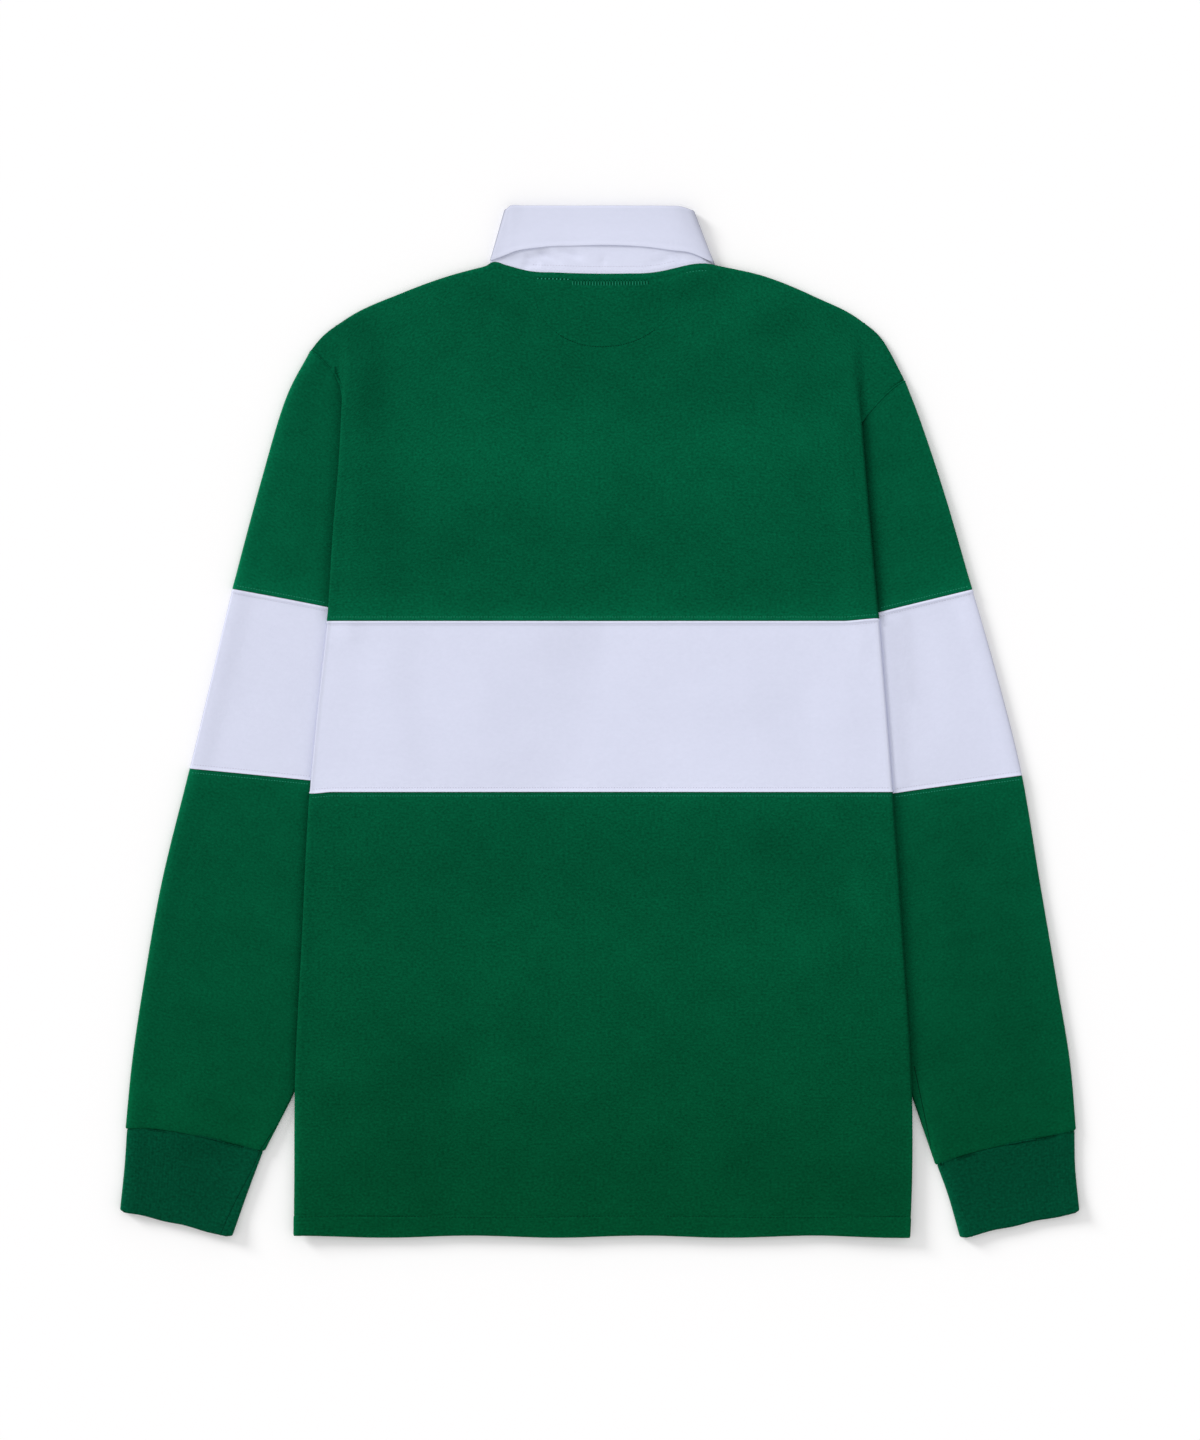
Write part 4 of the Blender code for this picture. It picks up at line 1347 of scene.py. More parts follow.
def knit_group() -> bpy.types.NodeTree:
    """Knitted stitches: columns of V-shaped loops.

    Returns:
        The group, whose outputs are the stitches' height and their shade, from 0 to 1.
    """
    if "Knit" in bpy.data.node_groups:
        return bpy.data.node_groups["Knit"]
    group = Group("Knit", {"Wales": 950.0, "Courses": 1200.0, "Slant": 0.9}, ("Height", "Shade"))
    stray = (group.nodes.waver(group.place, 160.0, Detail=2.0) - HALF) * 0.9
    sideways, upwards = group.along()
    inside = (sideways * group.value("Wales") + stray).off_middle()
    course = upwards * group.value("Courses") + inside * group.value("Slant") + stray
    leg = 1.0 - (course.off_middle() * 2.0) ** 2.0
    rib = 1.0 - (group.nodes.maths("ABSOLUTE", inside - 0.25) * 4.0) ** 2.0
    height = leg * rib
    group.give("Height", height)
    group.give("Shade", 0.35 + height * 0.65)
    return group.tree


def mottle_group() -> bpy.types.NodeTree:
    """Uneven dye and yarn: fine grain, slubs along the courses, and broad clouds.

    Returns:
        The group, whose outputs are each from 0 to 1, about 0.5.
    """
    if "Mottle" in bpy.data.node_groups:
        return bpy.data.node_groups["Mottle"]
    group = Group("Mottle", {"Grain": 620.0, "Cloud": 14.0}, ("Grain", "Slub", "Cloud"))
    for key, scale, detail, roughness, stretch in (
        ("Grain", "Grain", 3.0, 0.5, (0.85, 1.15, 1.0)),
        ("Slub", "Grain", 2.0, 0.5, (0.3, 0.8, 1.0)),
        ("Cloud", "Cloud", 4.0, 0.82, (0.9, 1.1, 1.0)),
    ):
        place = group.nodes.add("ShaderNodeMapping", {"Vector": group.place, "Scale": stretch}).outputs[0]
        group.give(key, group.nodes.waver(place, group.value(scale), Detail=detail, Roughness=roughness))
    return group.tree


def twill_group() -> bpy.types.NodeTree:
    """Twill: fine diagonal wales with a slight waver.

    Returns:
        The group, whose outputs are the weave's height and its shade, from 0 to 1.
    """
    if "Twill" in bpy.data.node_groups:
        return bpy.data.node_groups["Twill"]
    group = Group("Twill", {"Wales": 1250.0}, ("Height", "Shade"))
    stray = group.nodes.waver(group.place, 300.0)
    sideways, upwards = group.along()
    wale = (sideways + upwards * 1.5) * group.value("Wales") + stray
    height = (HALF - wale.off_middle()) * 2.0
    group.give("Height", height)
    group.give("Shade", HALF + height * 0.5)
    return group.tree


WEAVES = {"Knit": knit_group, "Twill": twill_group}


def new_material(name: str) -> tuple[bpy.types.Material, Nodes, bpy.types.Node]:
    """Starts a material.

    Args:
        name: Its name.

    Returns:
        The material, what makes its nodes, and its shader.
    """
    material = bpy.data.materials.new(name)
    material.use_nodes = True
    return material, Nodes(material.node_tree), material.node_tree.nodes["Principled BSDF"]


@dataclass(frozen=True)
class ClothFinish:
    """A knitted or woven cotton: its colours, its weave's size and its nap."""

    name: str
    colour: tuple[float, float, float]
    dark: tuple[float, float, float]
    weave: str = "Knit"
    wales: float = 950.0
    courses: float = 1.25
    weave_depth: float = 0.00018
    grain: float = 0.3
    cloud: float = 0.25
    roughness: float = 0.9
    grain_scale: float = 500.0
    cloud_scale: float = 28.0
    # Painted shade that deepens towards the hem, where the light falls off: its strength, the colour that it
    # darkens towards and the heights in metres between which it deepens
    fade: float = 0.0
    faded: tuple[float, float, float] = (0.32, 0.32, 0.0)
    falloff_between: tuple[float, float] = (0.32, -0.46)
    sheen: float = 0.05
    specular: float = 0.08

    def weave_tone(self, nodes: Nodes, place: bpy.types.NodeSocket) -> tuple[Value, Value, Value]:
        """Adds the weave and the cloth's unevenness.

        Args:
            nodes: The material's nodes.
            place: The cloth's flat places.

        Returns:
            The cloth's tone, from 0, dark, to 1, the weave's height, and the grain, about 0.
        """
        sizes = {"Vector": place, "Wales": self.wales}
        if self.weave == "Knit":
            sizes["Courses"] = self.wales * self.courses
        weave = nodes.add("ShaderNodeGroup", sizes, node_tree=WEAVES[self.weave]())
        sizes = {"Vector": place, "Grain": self.grain_scale, "Cloud": self.cloud_scale}
        mottle = nodes.add("ShaderNodeGroup", sizes, node_tree=mottle_group())
        grain, slub, cloud = (nodes.read(mottle, key) - HALF for key in ("Grain", "Slub", "Cloud"))
        tone = grain * (self.grain * 5.0) + HALF + slub * (self.grain * 0.8) + cloud * (self.cloud * 2.0)
        tone = tone + (nodes.read(weave, "Shade") - 0.7) * self.grain
        return tone.clamped(), nodes.read(weave, "Height"), grain

    def paint_falloff(self, nodes: Nodes, colour: bpy.types.NodeSocket) -> bpy.types.NodeSocket:
        """Paints shade into the colour, deepening from the shirt's shoulders to its hem, where the light
        falls off.

        Args:
            nodes: The material's nodes.
            colour: The colour.

        Returns:
            The faded colour.
        """
        place = nodes.add("ShaderNodeTexCoord").outputs["Object"]
        split = nodes.add("ShaderNodeSeparateXYZ", {"Vector": place})
        top, bottom = self.falloff_between
        ramp = {"Value": split.outputs[1], "From Min": top, "From Max": bottom, "To Min": 0.0, "To Max": 1.0}
        down = nodes.read(nodes.add("ShaderNodeMapRange", ramp), 0)
        falloff_colour = nodes.add("ShaderNodeVectorMath", operation="MULTIPLY")
        nodes.feed(falloff_colour.inputs[0], colour)
        falloff_colour.inputs[1].default_value = self.faded
        return nodes.mix(down**2.0 * self.fade, colour, falloff_colour.outputs[0])

    def make(self) -> bpy.types.Material:
        """Builds the material.

        Returns:
            The material, which follows the cloth's own flat places.
        """
        material, nodes, shader = new_material(self.name)
        place = nodes.add("ShaderNodeUVMap", uv_map="cloth").outputs[0]
        tone, weave_height, grain = self.weave_tone(nodes, place)
        colour = nodes.mix(tone, (*self.dark, 1.0), (*self.colour, 1.0))
        if self.fade:
            colour = self.paint_falloff(nodes, colour)
        # The shade attribute holds the painted light and shade, with the darker seam lines and lighter strips
        # beside seams, as a factor on the colour
        shade = nodes.add("ShaderNodeAttribute", attribute_name="shade").outputs["Fac"]
        shaded = nodes.add("ShaderNodeVectorMath", {"Scale": shade}, operation="SCALE")
        nodes.feed(shaded.inputs[0], colour)
        height = weave_height + grain * 1.2
        dents = {"Strength": 0.6, "Distance": self.weave_depth, "Height": height}
        bright = (*(channel / max(self.colour) for channel in self.colour), 1.0)
        for key, value in (
            ("Base Color", shaded.outputs[0]),
            ("Normal", nodes.add("ShaderNodeBump", dents).outputs[0]),
            ("Roughness", self.roughness + grain * 0.1),
            ("Sheen Weight", self.sheen),
            ("Sheen Roughness", 0.45),
            ("Sheen Tint", bright),
            ("Specular IOR Level", self.specular),
            ("Specular Tint", bright),
        ):
            nodes.feed(shader.inputs[key], value)
        material.diffuse_color = (*self.colour, 1.0)
        return material


@dataclass(frozen=True)
class PlainFinish:
    """Thread, rubber or another small part: one colour with a slight unevenness."""

    name: str
    colour: tuple[float, float, float]
    roughness: float = 0.7
    specular: float = 0.3
    speckle: float = 0.12

    def make(self) -> bpy.types.Material:
        """Builds the material.

        Returns:
            The material, which follows the object's own coordinates.
        """
        material, nodes, shader = new_material(self.name)
        place = nodes.add("ShaderNodeTexCoord").outputs["Object"]
        mottle = nodes.add("ShaderNodeGroup", {"Vector": place}, node_tree=mottle_group())
        tone = nodes.read(mottle, "Grain")
        dark = tuple(channel * (1 - 2 * self.speckle) for channel in self.colour)
        nodes.feed(shader.inputs["Base Color"], nodes.mix(tone, (*dark, 1.0), (*self.colour, 1.0)))
        nodes.feed(shader.inputs["Roughness"], self.roughness + tone * 0.05)
        shader.inputs["Specular IOR Level"].default_value = self.specular
        material.diffuse_color = (*self.colour, 1.0)
        return material


# The green body cloth has painted shade towards its hem
GREEN = ClothFinish(
    "green jersey", (0.0018, 0.133, 0.0585), (0.0008, 0.052, 0.0215), grain=0.3, grain_scale=560.0,
    cloud=0.28, fade=0.5,
)
GREEN_SLEEVE = replace(GREEN, name="green jersey of the sleeves", grain=0.24, cloud=0.32)
WHITE = ClothFinish(
    "white jersey", (0.785, 0.81, 0.98), (0.705, 0.73, 0.895), grain=0.115, grain_scale=330.0, cloud=0.26,
    cloud_scale=60.0, sheen=0.03,
)
TWILL = ClothFinish(
    "white twill", (0.785, 0.81, 0.98), (0.73, 0.755, 0.92), weave="Twill", wales=1250.0, weave_depth=0.0001,
    grain=0.115, grain_scale=300.0, cloud=0.25, cloud_scale=60.0, roughness=0.8, sheen=0.03,
)
RIB = ClothFinish(
    "green rib", (0.0014, 0.085, 0.0395), (0.0007, 0.033, 0.0145), wales=1000.0, grain=0.33, cloud=0.2
)
GREEN_THREAD = PlainFinish("green thread", (0.020, 0.290, 0.175), 0.6, 0.1)
DARK_THREAD = PlainFinish("dark green thread", (0.0004, 0.016, 0.007), 0.7, 0.02)
WHITE_THREAD = PlainFinish("white thread", (0.56, 0.54, 0.66), 0.6, 0.1)
RUBBER = PlainFinish("white rubber", (0.72, 0.72, 0.74), 0.45, 0.4, 0.03)


# The body


@dataclass
class Body:
    """The back and the front, each in three parts, of which the white band is the middle one."""

    lay: Lay
    green: bpy.types.Material
    white: bpy.types.Material
    pitch: float = PITCH
    middle_columns: int = 146
    cap_columns: int = 22
    cap_tuck: float = 6.0
    front_columns: int = 96
    armhole_span: tuple[float, float] = (0.012, 0.998)
    fold_ridge: Swell = Swell(0.45, 3.6, 2.8)
    unevenness: float = 0.22
    front_unevenness: float = 0.2
    # The painted highlight beside the free sides, by how each faces, and the painted shade beside the white
    # band's sides and beside the green sides over a sleeve, with their reaches
    facings: tuple[float, float] = (1.0, -0.8)
    band_shades: tuple[float, float] = (0.19, 0.06)
    band_shade_reach: float = 2.2
    side_shades: tuple[float, float] = (0.0, 0.4)
    side_shade_reach: float = 1.6
    top_drops: tuple[float, float, float] = (3.3, 2.5, ROLL)
    open_insets: tuple[float, ...] = (FOLD_INSET, 5.0, 3.0, 1.0, -1.0, -3.0, -5.0)
    open_drops: tuple[float, ...] = (0.0, 0.0, 0.15, 0.4, 0.7, 0.95, 1.0)
    quiet_from: float = 1.0
    quiet_run: float = 12.0
    quiet_top_run: float = 8.0
    free_margin: float = 10.0
    free_run: float = 30.0
    band_shade_inset: float = 0.4
    top_fine_at: float = 6.0
    top_fine_reach: float = 4.0
    least_row: float = 0.6
    neck_slope: float = 2.0
    rows_apart: float = 0.1
    column_rounds: int = 5
    cap_shares: tuple[float, float] = (0.6, 0.005)
    cap_start: float = 0.01
    cap_foot: float = 2.0
    cap_gap: float = 1.0
    lip_reach: float = 0.5

    def fold_steps(self) -> Array:
        """The places over a folded side: 0 on top, 1 to 5 round the roll and 6 at its end."""
        return np.concatenate([np.linspace(0, 1, 6)[:-1], np.linspace(1, 5, 13)[:-1], np.linspace(5, 6, 5)])

    def folded_column(self, side: Side, place: Array, up: Array) -> tuple[Array, Array]:
        """Across and drop over the folded side of the back.

        Args:
            side: Which side.
            place: The places over it, from fold_steps.
            up: The heights in plan.

        Returns:
            How far across each point lies, and how far below the outer face.
        """
        risen, turned = self.lay.fold_growth(up)
        angle = np.radians(90.0 - 45.0 * (np.clip(place, 1.0, 5.0) - 1.0))
        folded_inset = ROLL * (1 - np.cos(angle))
        folded_drop = ROLL * (1 - np.sin(angle))
        folded_inset = np.where(place < 1.0, between(FOLD_INSET, ROLL, place), folded_inset)
        folded_inset = np.where(place > 5.0, between(ROLL, RETURN, place - 5.0), folded_inset)
        steps = np.arange(len(self.open_insets))
        open_inset = np.interp(place, steps, self.open_insets)
        open_drop = np.interp(place, steps, self.open_drops)
        depth = between(open_inset, folded_inset, turned)
        drop = between(OVER * risen * open_drop, folded_drop, turned)
        return self.lay.side_edge(side, up) - side.outwards * depth, drop

    def back_columns(self, up: Array) -> tuple[Array, Array]:
        """Across and drop of every column of the back.

        Args:
            up: The heights in plan of its rows and columns.

        Returns:
            How far across each point lies, and how far below the outer face.
        """
        steps = self.fold_steps()
        count = len(steps)
        left, left_drop = self.folded_column(Side.LEFT, steps[::-1], up[:, :count])
        right, right_drop = self.folded_column(Side.RIGHT, steps, up[:, -count:])
        shares = np.linspace(0.0, 1.0, self.middle_columns + 2)[1:-1]
        inner = up[:, count:-count]
        low, _ = self.folded_column(Side.LEFT, np.zeros(1), inner)
        high, _ = self.folded_column(Side.RIGHT, np.zeros(1), inner)
        across = np.concatenate([left, between(low, high, shares), right], axis=1)
        return across, np.concatenate([left_drop, np.zeros_like(inner), right_drop], axis=1)

    def column_count(self) -> int:
        """How many columns the back has."""
        return 2 * len(self.fold_steps()) + self.middle_columns

    def relief(self, points: Array) -> Array:
        """The back's fine form.

        Args:
            points: The points.

        Returns:
            The height that its creases, its unevenness and its folds' ridges add at each point.
        """
        across, up = points[..., 0], points[..., 1]
        inset = self.lay.inset(across, up)
        quiet = step((inset - self.quiet_from) / self.quiet_run)
        soft = crease_relief(BACK_CREASES, across, up) + ripple(across, up, BACK_SEED, self.unevenness)
        ridge = self.fold_ridge.height * self.lay.fold_growth(up)[1]
        ridge = ridge * bump(inset - self.fold_ridge.away, self.fold_ridge.width)
        on_green = 1 - on_band(up, BAND_MARGIN)
        return soft * quiet + ridge * on_green * (across < self.lay.centre)

    def shade(self, points: Array, is_white: bool = False) -> Array:
        """The painted light and shade on the colour: a painted highlight beside the green cloth's sides and
        its hem, painted shade beside the sides where they lie over a sleeve, and soft painted patches.

        Args:
            points: The points.
            is_white: Whether they lie on the white band, whose sides get painted shade instead.

        Returns:
            The factor on the colour at each point.
        """
        across, up = points[..., 0], points[..., 1]
        inset = self.lay.inset(across, up)
        turned = self.lay.fold_growth(up)[1]
        free = step((SLEEVE_LEAVES - up + self.free_margin) / self.free_run)
        left = across < self.lay.centre
        if is_white:
            beside = bump(inset - self.band_shade_inset, self.band_shade_reach)
            side = 1 - np.where(left, *self.band_shades) * beside
            side = side * np.where(left, painted_wall_shade(points), 1.0)
        else:
            alone = np.where(left, *(painted_rim_light(inset, facing) for facing in self.facings))
            over_sleeve = 1 - np.where(left, *self.side_shades) * bump(inset, self.side_shade_reach)
            side = between(over_sleeve, alone, free)
        hem = 1 + faded(HEM_LIGHT, up - HEM)
        return between(1.0, side, turned) * hem * painted_soft_shading(across, up)

    def rows_between(self, top: float, bottom: float, fine_at: Sequence[float] = ()) -> Array:
        """The heights of a panel's rows, from its top to its bottom."""
        return top - spaced(top - bottom, self.pitch, (0.0, top - bottom, *fine_at))

    def lower_grid(self, top: float, bottom: float, top_end: Hem, bottom_end: Hem) -> Grid:
        """The outer face of the back between two heights.

        Args:
            top: Its upper end.
            bottom: Its lower end.
            top_end: How its upper end is finished.
            bottom_end: How its lower end is finished.

        Returns:
            The grid.
        """
        fine = (top - bottom - HEM_TURN,) if bottom_end is Hem.TURNED else ()
        rows = self.rows_between(top, bottom, fine)
        up = np.repeat(rows[:, None], self.column_count(), axis=1)
        across, drop = self.back_columns(up)
        height = self.lay.back_top(across, up) - drop
        wave = hem_wave(across, (top - up) / (top - bottom)) if bottom_end is Hem.TURNED else 0.0
        points = np.stack([across, up + wave + self.lay.seam_shift(across, up), height], axis=-1)
        relief = top_end.relief(top - up) + bottom_end.relief(up - bottom)
        relief = relief * np.where(drop < ROLL, 1.0, WALL_RELIEF) + self.relief(points)
        grid = Grid.from_points(points, self.column_count() // 2)
        grid.shade = self.shade(points, top_end is Hem.BAND_TOP) * top_end.tone(top - up)
        grid.points = points + normals(points) * relief[..., None]
        return grid

    def upper_grids(self) -> list[Grid]:
        """The outer face of the back above the band.

        Returns:
            The grid between the folded sides, and the two shoulder caps.
        """
        quarter = np.radians((22.5, 45.0, 67.5, 90.0))
        insets = np.concatenate([np.zeros(len(self.top_drops)), ROLL * (1 - np.cos(quarter))])
        drops = np.concatenate([self.top_drops, ROLL * (1 - np.sin(quarter))])
        edge_rows = len(insets)
        full = TOP_AT_FOLD - BAND_TOP
        downs = spaced(full, self.pitch, (self.top_fine_at, full), self.top_fine_reach)
        downs = downs[downs > insets[-1] + self.least_row]
        shares = downs / full
        columns = self.column_count()
        starts = np.concatenate([np.full(edge_rows, TOP_AT_FOLD), TOP_AT_FOLD - downs])
        up = np.repeat(starts[:, None], columns, axis=1)
        # A column's place across depends on how high it lies, and its top on its place across
        for _ in range(self.column_rounds):
            across, side_drop = self.back_columns(up)
            top = self.lay.top_edge(across)
            neck = step((across - NECK_LEFT) / self.neck_slope)
            neck = neck * step((NECK_RIGHT - across) / self.neck_slope)
            apart = self.rows_apart * np.arange(edge_rows)[:, None] * neck[:edge_rows]
            edge_up = top[:edge_rows] - insets[:, None] - apart
            body_up = between(top[edge_rows:], BAND_TOP + JOIN, shares[:, None])
            up = np.concatenate([edge_up, body_up])
        edge_drop = np.zeros((edge_rows + len(downs), columns))
        edge_drop[:edge_rows] = drops[:, None] * (1 - neck[:edge_rows])
        height = self.lay.back_top(across, up) - side_drop - edge_drop
        points = np.stack([across, up + self.lay.seam_shift(across, up), height], axis=-1)
        main = Grid.from_points(points, columns // 2)
        main.shade = self.shade(points) * (1 + faded(TOP_LIGHT, top - up))
        main.shade = main.shade * Hem.ABOVE_BAND.tone(up - BAND_TOP)
        caps = [self.cap_grid(side, points, insets, drops, downs) for side in Side]
        from_neck = np.where((across > NECK_LEFT) & (across < NECK_RIGHT), top - up, FAR)
        quiet = step((top - up - self.quiet_from) / self.quiet_top_run)
        relief = self.relief(points) * quiet + swelling(NECK_STRIP, from_neck)
        relief += Hem.ABOVE_BAND.relief(up - BAND_TOP - JOIN) * np.where(side_drop < ROLL, 1.0, WALL_RELIEF)
        relief[:edge_rows] = 0.0
        main.points = points + normals(points) * relief[..., None]
        caps[0].points[:, -1] = main.points[: len(caps[0].points), 0]
        caps[1].points[:, 0] = main.points[: len(caps[1].points), -1]
        return [main, *caps]

    def cap_grid(self, side: Side, back: Array, insets: Array, drops: Array, downs: Array) -> Grid:
        """The shoulder cap outside the fold.

        Args:
            side: Which side.
            back: The points of the back, whose outermost column the cap joins.
            insets: How far the rows of its rounded edge lie inside the shoulder's edge.
            drops: How far they lie below it.
            downs: How far down its other rows lie.

        Returns:
            The grid.
        """
        sections = SLEEVES[side]
        out = side.outwards
        shares = np.arange(0.0, *self.cap_shares)
        armhole, width = self.lay.arm_point(sections, 0.0, shares)
        tucked = self.lay.inset(armhole[:, 0], armhole[:, 1]) >= self.cap_tuck
        end = int(np.argmax(tucked))
        rows = int(np.sum(TOP_AT_FOLD - downs > armhole[end, 1] - self.cap_foot))
        edge_rows = len(insets)
        start = back[: edge_rows + rows, 0 if side is Side.LEFT else -1]
        turned = self.lay.fold_growth(start[:, 1])[1]
        low = PAIR + self.lay.chest_lift(start[:, 0], start[:, 1])
        reach = between(self.lip_reach, -LIE / 2, turned)
        lip_height = between(low, low + LIE / 2, turned)
        lip = np.stack([start[:, 0] + out * reach, start[:, 1], lip_height], axis=-1)
        spread = np.linspace(0.0, 1.0, self.cap_columns)
        first = start[:, 0] + out * between(self.cap_gap, 0.0, turned)
        tip = sections[0].outer_across
        edge_across = between(first[:edge_rows, None], tip, spread)
        edge_up = self.lay.top_edge(edge_across) - insets[:, None]
        spot, _ = self.lay.arm_point(sections, 0.0, insets / width[0])
        edge_across[:, -1] = spot[:, 0] - out * 3 * SEAM
        edge_up[:, -1] = spot[:, 1] + SEAM
        edge_height = np.broadcast_to(PAIR - drops[:, None], edge_up.shape)
        edge = np.stack([edge_across, edge_up, edge_height], axis=-1)
        share = between(self.cap_start, shares[end], downs[:rows] / downs[rows - 1])
        seam, _ = self.lay.arm_point(sections, 0.0, share)
        inner = np.stack([first[edge_rows:], start[edge_rows:, 1], np.full(rows, PAIR)], axis=-1)
        outer = np.stack([seam[:, 0] - out * JOIN, seam[:, 1], np.full(rows, PAIR)], axis=-1)
        body = between(inner[:, None], outer[:, None], spread[:, None])
        away = np.linalg.norm(outer[:, None] - inner[:, None], axis=-1) * (1 - spread)
        body[..., 2] += ARMS[side].armhole.relief(away)
        plane = np.concatenate([edge, body])
        points = np.concatenate([start[:, None], lip[:, None], plane], axis=1)
        if side is Side.LEFT:
            points = points[:, ::-1]
        return Grid.from_plan(points, math.pi / 2)

    def front_neck(self, across: Array) -> Array:
        """The front's top edge.

        Args:
            across: Places across.

        Returns:
            The edge's height in plan at each.
        """
        neck = [(leaf.seam_across, leaf.seam_up) for leaf in reversed(COLLAR_FRONT)]
        neck += [(2 * self.lay.centre - x, y) for x, y in reversed(neck)]
        low, high = LEFT_SHOULDER[-1], RIGHT_SHOULDER[0]
        points = [(low.across, low.up - EDGE_INSIDE), *sorted(neck), (high.across, high.up - EDGE_INSIDE)]
        inside = (across > low.across) & (across < high.across)
        curve = np.interp(across, [p[0] for p in points], [p[1] for p in points]) - SEAM
        return np.where(inside, curve, self.lay.top_edge(across) - EDGE_INSIDE)

    def front_side(self, side: Side, shares: Array) -> Grid:
        """One half of the upper front, whose outer face lies on the ground.

        Args:
            side: Which half.
            shares: The shares of the way down at which its rows lie.

        Returns:
            The grid of its inner face.
        """
        out = side.outwards

        def armhole(share_down: Array | float) -> Array:
            """The half's outer edge in plan, at a share of the way down."""
            point, _ = self.lay.arm_point(SLEEVES[side], 0.0, between(*self.armhole_span, share_down))
            gap = between(EDGE_INSIDE, SEAM, step(np.asarray(share_down) / 0.1))
            return np.stack([point[..., 0] - out * gap, point[..., 1]], axis=-1)

        tip, foot = armhole(0.0), armhole(1.0)
        first = Placket.width / 2 + SEAM
        seams = [abs(leaf.seam_across - self.lay.centre) for leaf in COLLAR_FRONT[1:]]
        neck = abs((LEFT_SHOULDER[-1] if side is Side.LEFT else RIGHT_SHOULDER[0]).across - self.lay.centre)
        corners = (first, *seams, neck, abs(tip[0] - self.lay.centre))
        offsets = np.concatenate([
            np.linspace(low, high, max(2, round((high - low) / HIDDEN_PITCH)) + 1)[:-1]
            for low, high in zip(corners, corners[1:])
        ] + [np.array([corners[-1]])])
        side_share = (offsets - offsets[0]) / (offsets[-1] - offsets[0])
        edge = armhole(shares)
        top_across = self.lay.centre + out * offsets
        across = top_across + side_share * (edge[:, :1] - tip[0])
        bulge = (edge[:, 1] - between(tip[1], foot[1], shares))[:, None] * side_share
        up = between(self.front_neck(top_across), BAND_TOP + SEAM / 2, shares[:, None]) + bulge
        height = self.front_height(across, up)
        points = np.stack([across, np.maximum(up, BAND_TOP + SEAM / 2), height], axis=-1)
        if side is Side.LEFT:
            points = points[:, ::-1]
        return Grid.from_points(points, points.shape[1] // 2)

    def front_upper_grids(self) -> list[Grid]:
        """The front above the band.

        Returns:
            Its two halves, and the part under the placket's end.
        """
        shares = np.concatenate([
            np.linspace(0.0, 0.1, 7)[:-1], np.linspace(0.1, Placket.end_share, 40)[:-1],
            np.linspace(Placket.end_share, 1.0, 12),
        ])
        left, right = (self.front_side(side, shares) for side in Side)
        below = shares >= Placket.end_share - 1e-6
        spread = np.linspace(0.0, 1.0, 9)[:, None]
        rows = between(left.points[below, -1][:, None], right.points[below, 0][:, None], spread[None])
        rows[..., 2] = np.maximum(rows[..., 2], self.lay.front_top(rows[..., 0], rows[..., 1]))
        rows[:, 0], rows[:, -1] = left.points[below, -1], right.points[below, 0]
        return [left, right, Grid.from_points(rows, 4)]

    def front_height(self, across: Array, up: Array) -> Array:
        """The height of the front's inner face, with its unevenness."""
        uneven = ripple(across, up, FRONT_SEED, self.front_unevenness)
        return self.lay.front_top(across, up) + np.maximum(0.0, uneven)

    def lower_front(self, top: float, bottom: float, has_hem: bool) -> Grid:
        """The front between two heights.

        Args:
            top: Its upper end.
            bottom: Its lower end.
            has_hem: Whether its lower end is the hem.

        Returns:
            The grid of its inner face.
        """
        rows = top - spaced(top - bottom, HIDDEN_PITCH, (0.0, top - bottom))
        up = np.repeat(rows[:, None], self.front_columns, axis=1)
        low = self.lay.side_edge(Side.LEFT, up) + RETURN + SEAM
        high = self.lay.side_edge(Side.RIGHT, up) - RETURN - SEAM
        across = between(low, high, np.linspace(0.0, 1.0, self.front_columns))
        wave = hem_wave(across, (top - up) / (top - bottom)) if has_hem else 0.0
        points = np.stack([across, up + wave, self.front_height(across, up)], axis=-1)
        return Grid.from_points(points, self.front_columns // 2)

    def build(self) -> list[bpy.types.Object]:
        """Makes and dresses the six panels.

        Returns:
            The panels, with those of the back first.
        """
        half = SEAM / 2
        back_band = self.lower_grid(BAND_TOP - JOIN, BAND_BOTTOM + JOIN, Hem.BAND_TOP, Hem.BAND_FOOT)
        back_lower = self.lower_grid(BAND_BOTTOM - JOIN, HEM + HEM_WAVE, Hem.BELOW_BAND, Hem.TURNED)
        made = (
            ("back_upper", self.upper_grids(), "jersey_green"),
            ("back_band", [back_band], "jersey_white"),
            ("back_lower", [back_lower], "jersey_green"),
            ("front_upper", self.front_upper_grids(), "jersey_green"),
            ("front_band", [self.lower_front(BAND_TOP - half, BAND_BOTTOM + half, False)], "jersey_white"),
            ("front_lower", [self.lower_front(BAND_BOTTOM - half, HEM + HEM_WAVE, True)], "jersey_green"),
        )
        pieces = []
        for node, grids, slot in made:
            piece = sew(f"{node}_cloth", grids, self.green if slot == "jersey_green" else self.white)
            dress(piece, [node], slot)
            declare(piece, grids)
            pieces.append(piece)
        return pieces


# The sleeves and cuffs


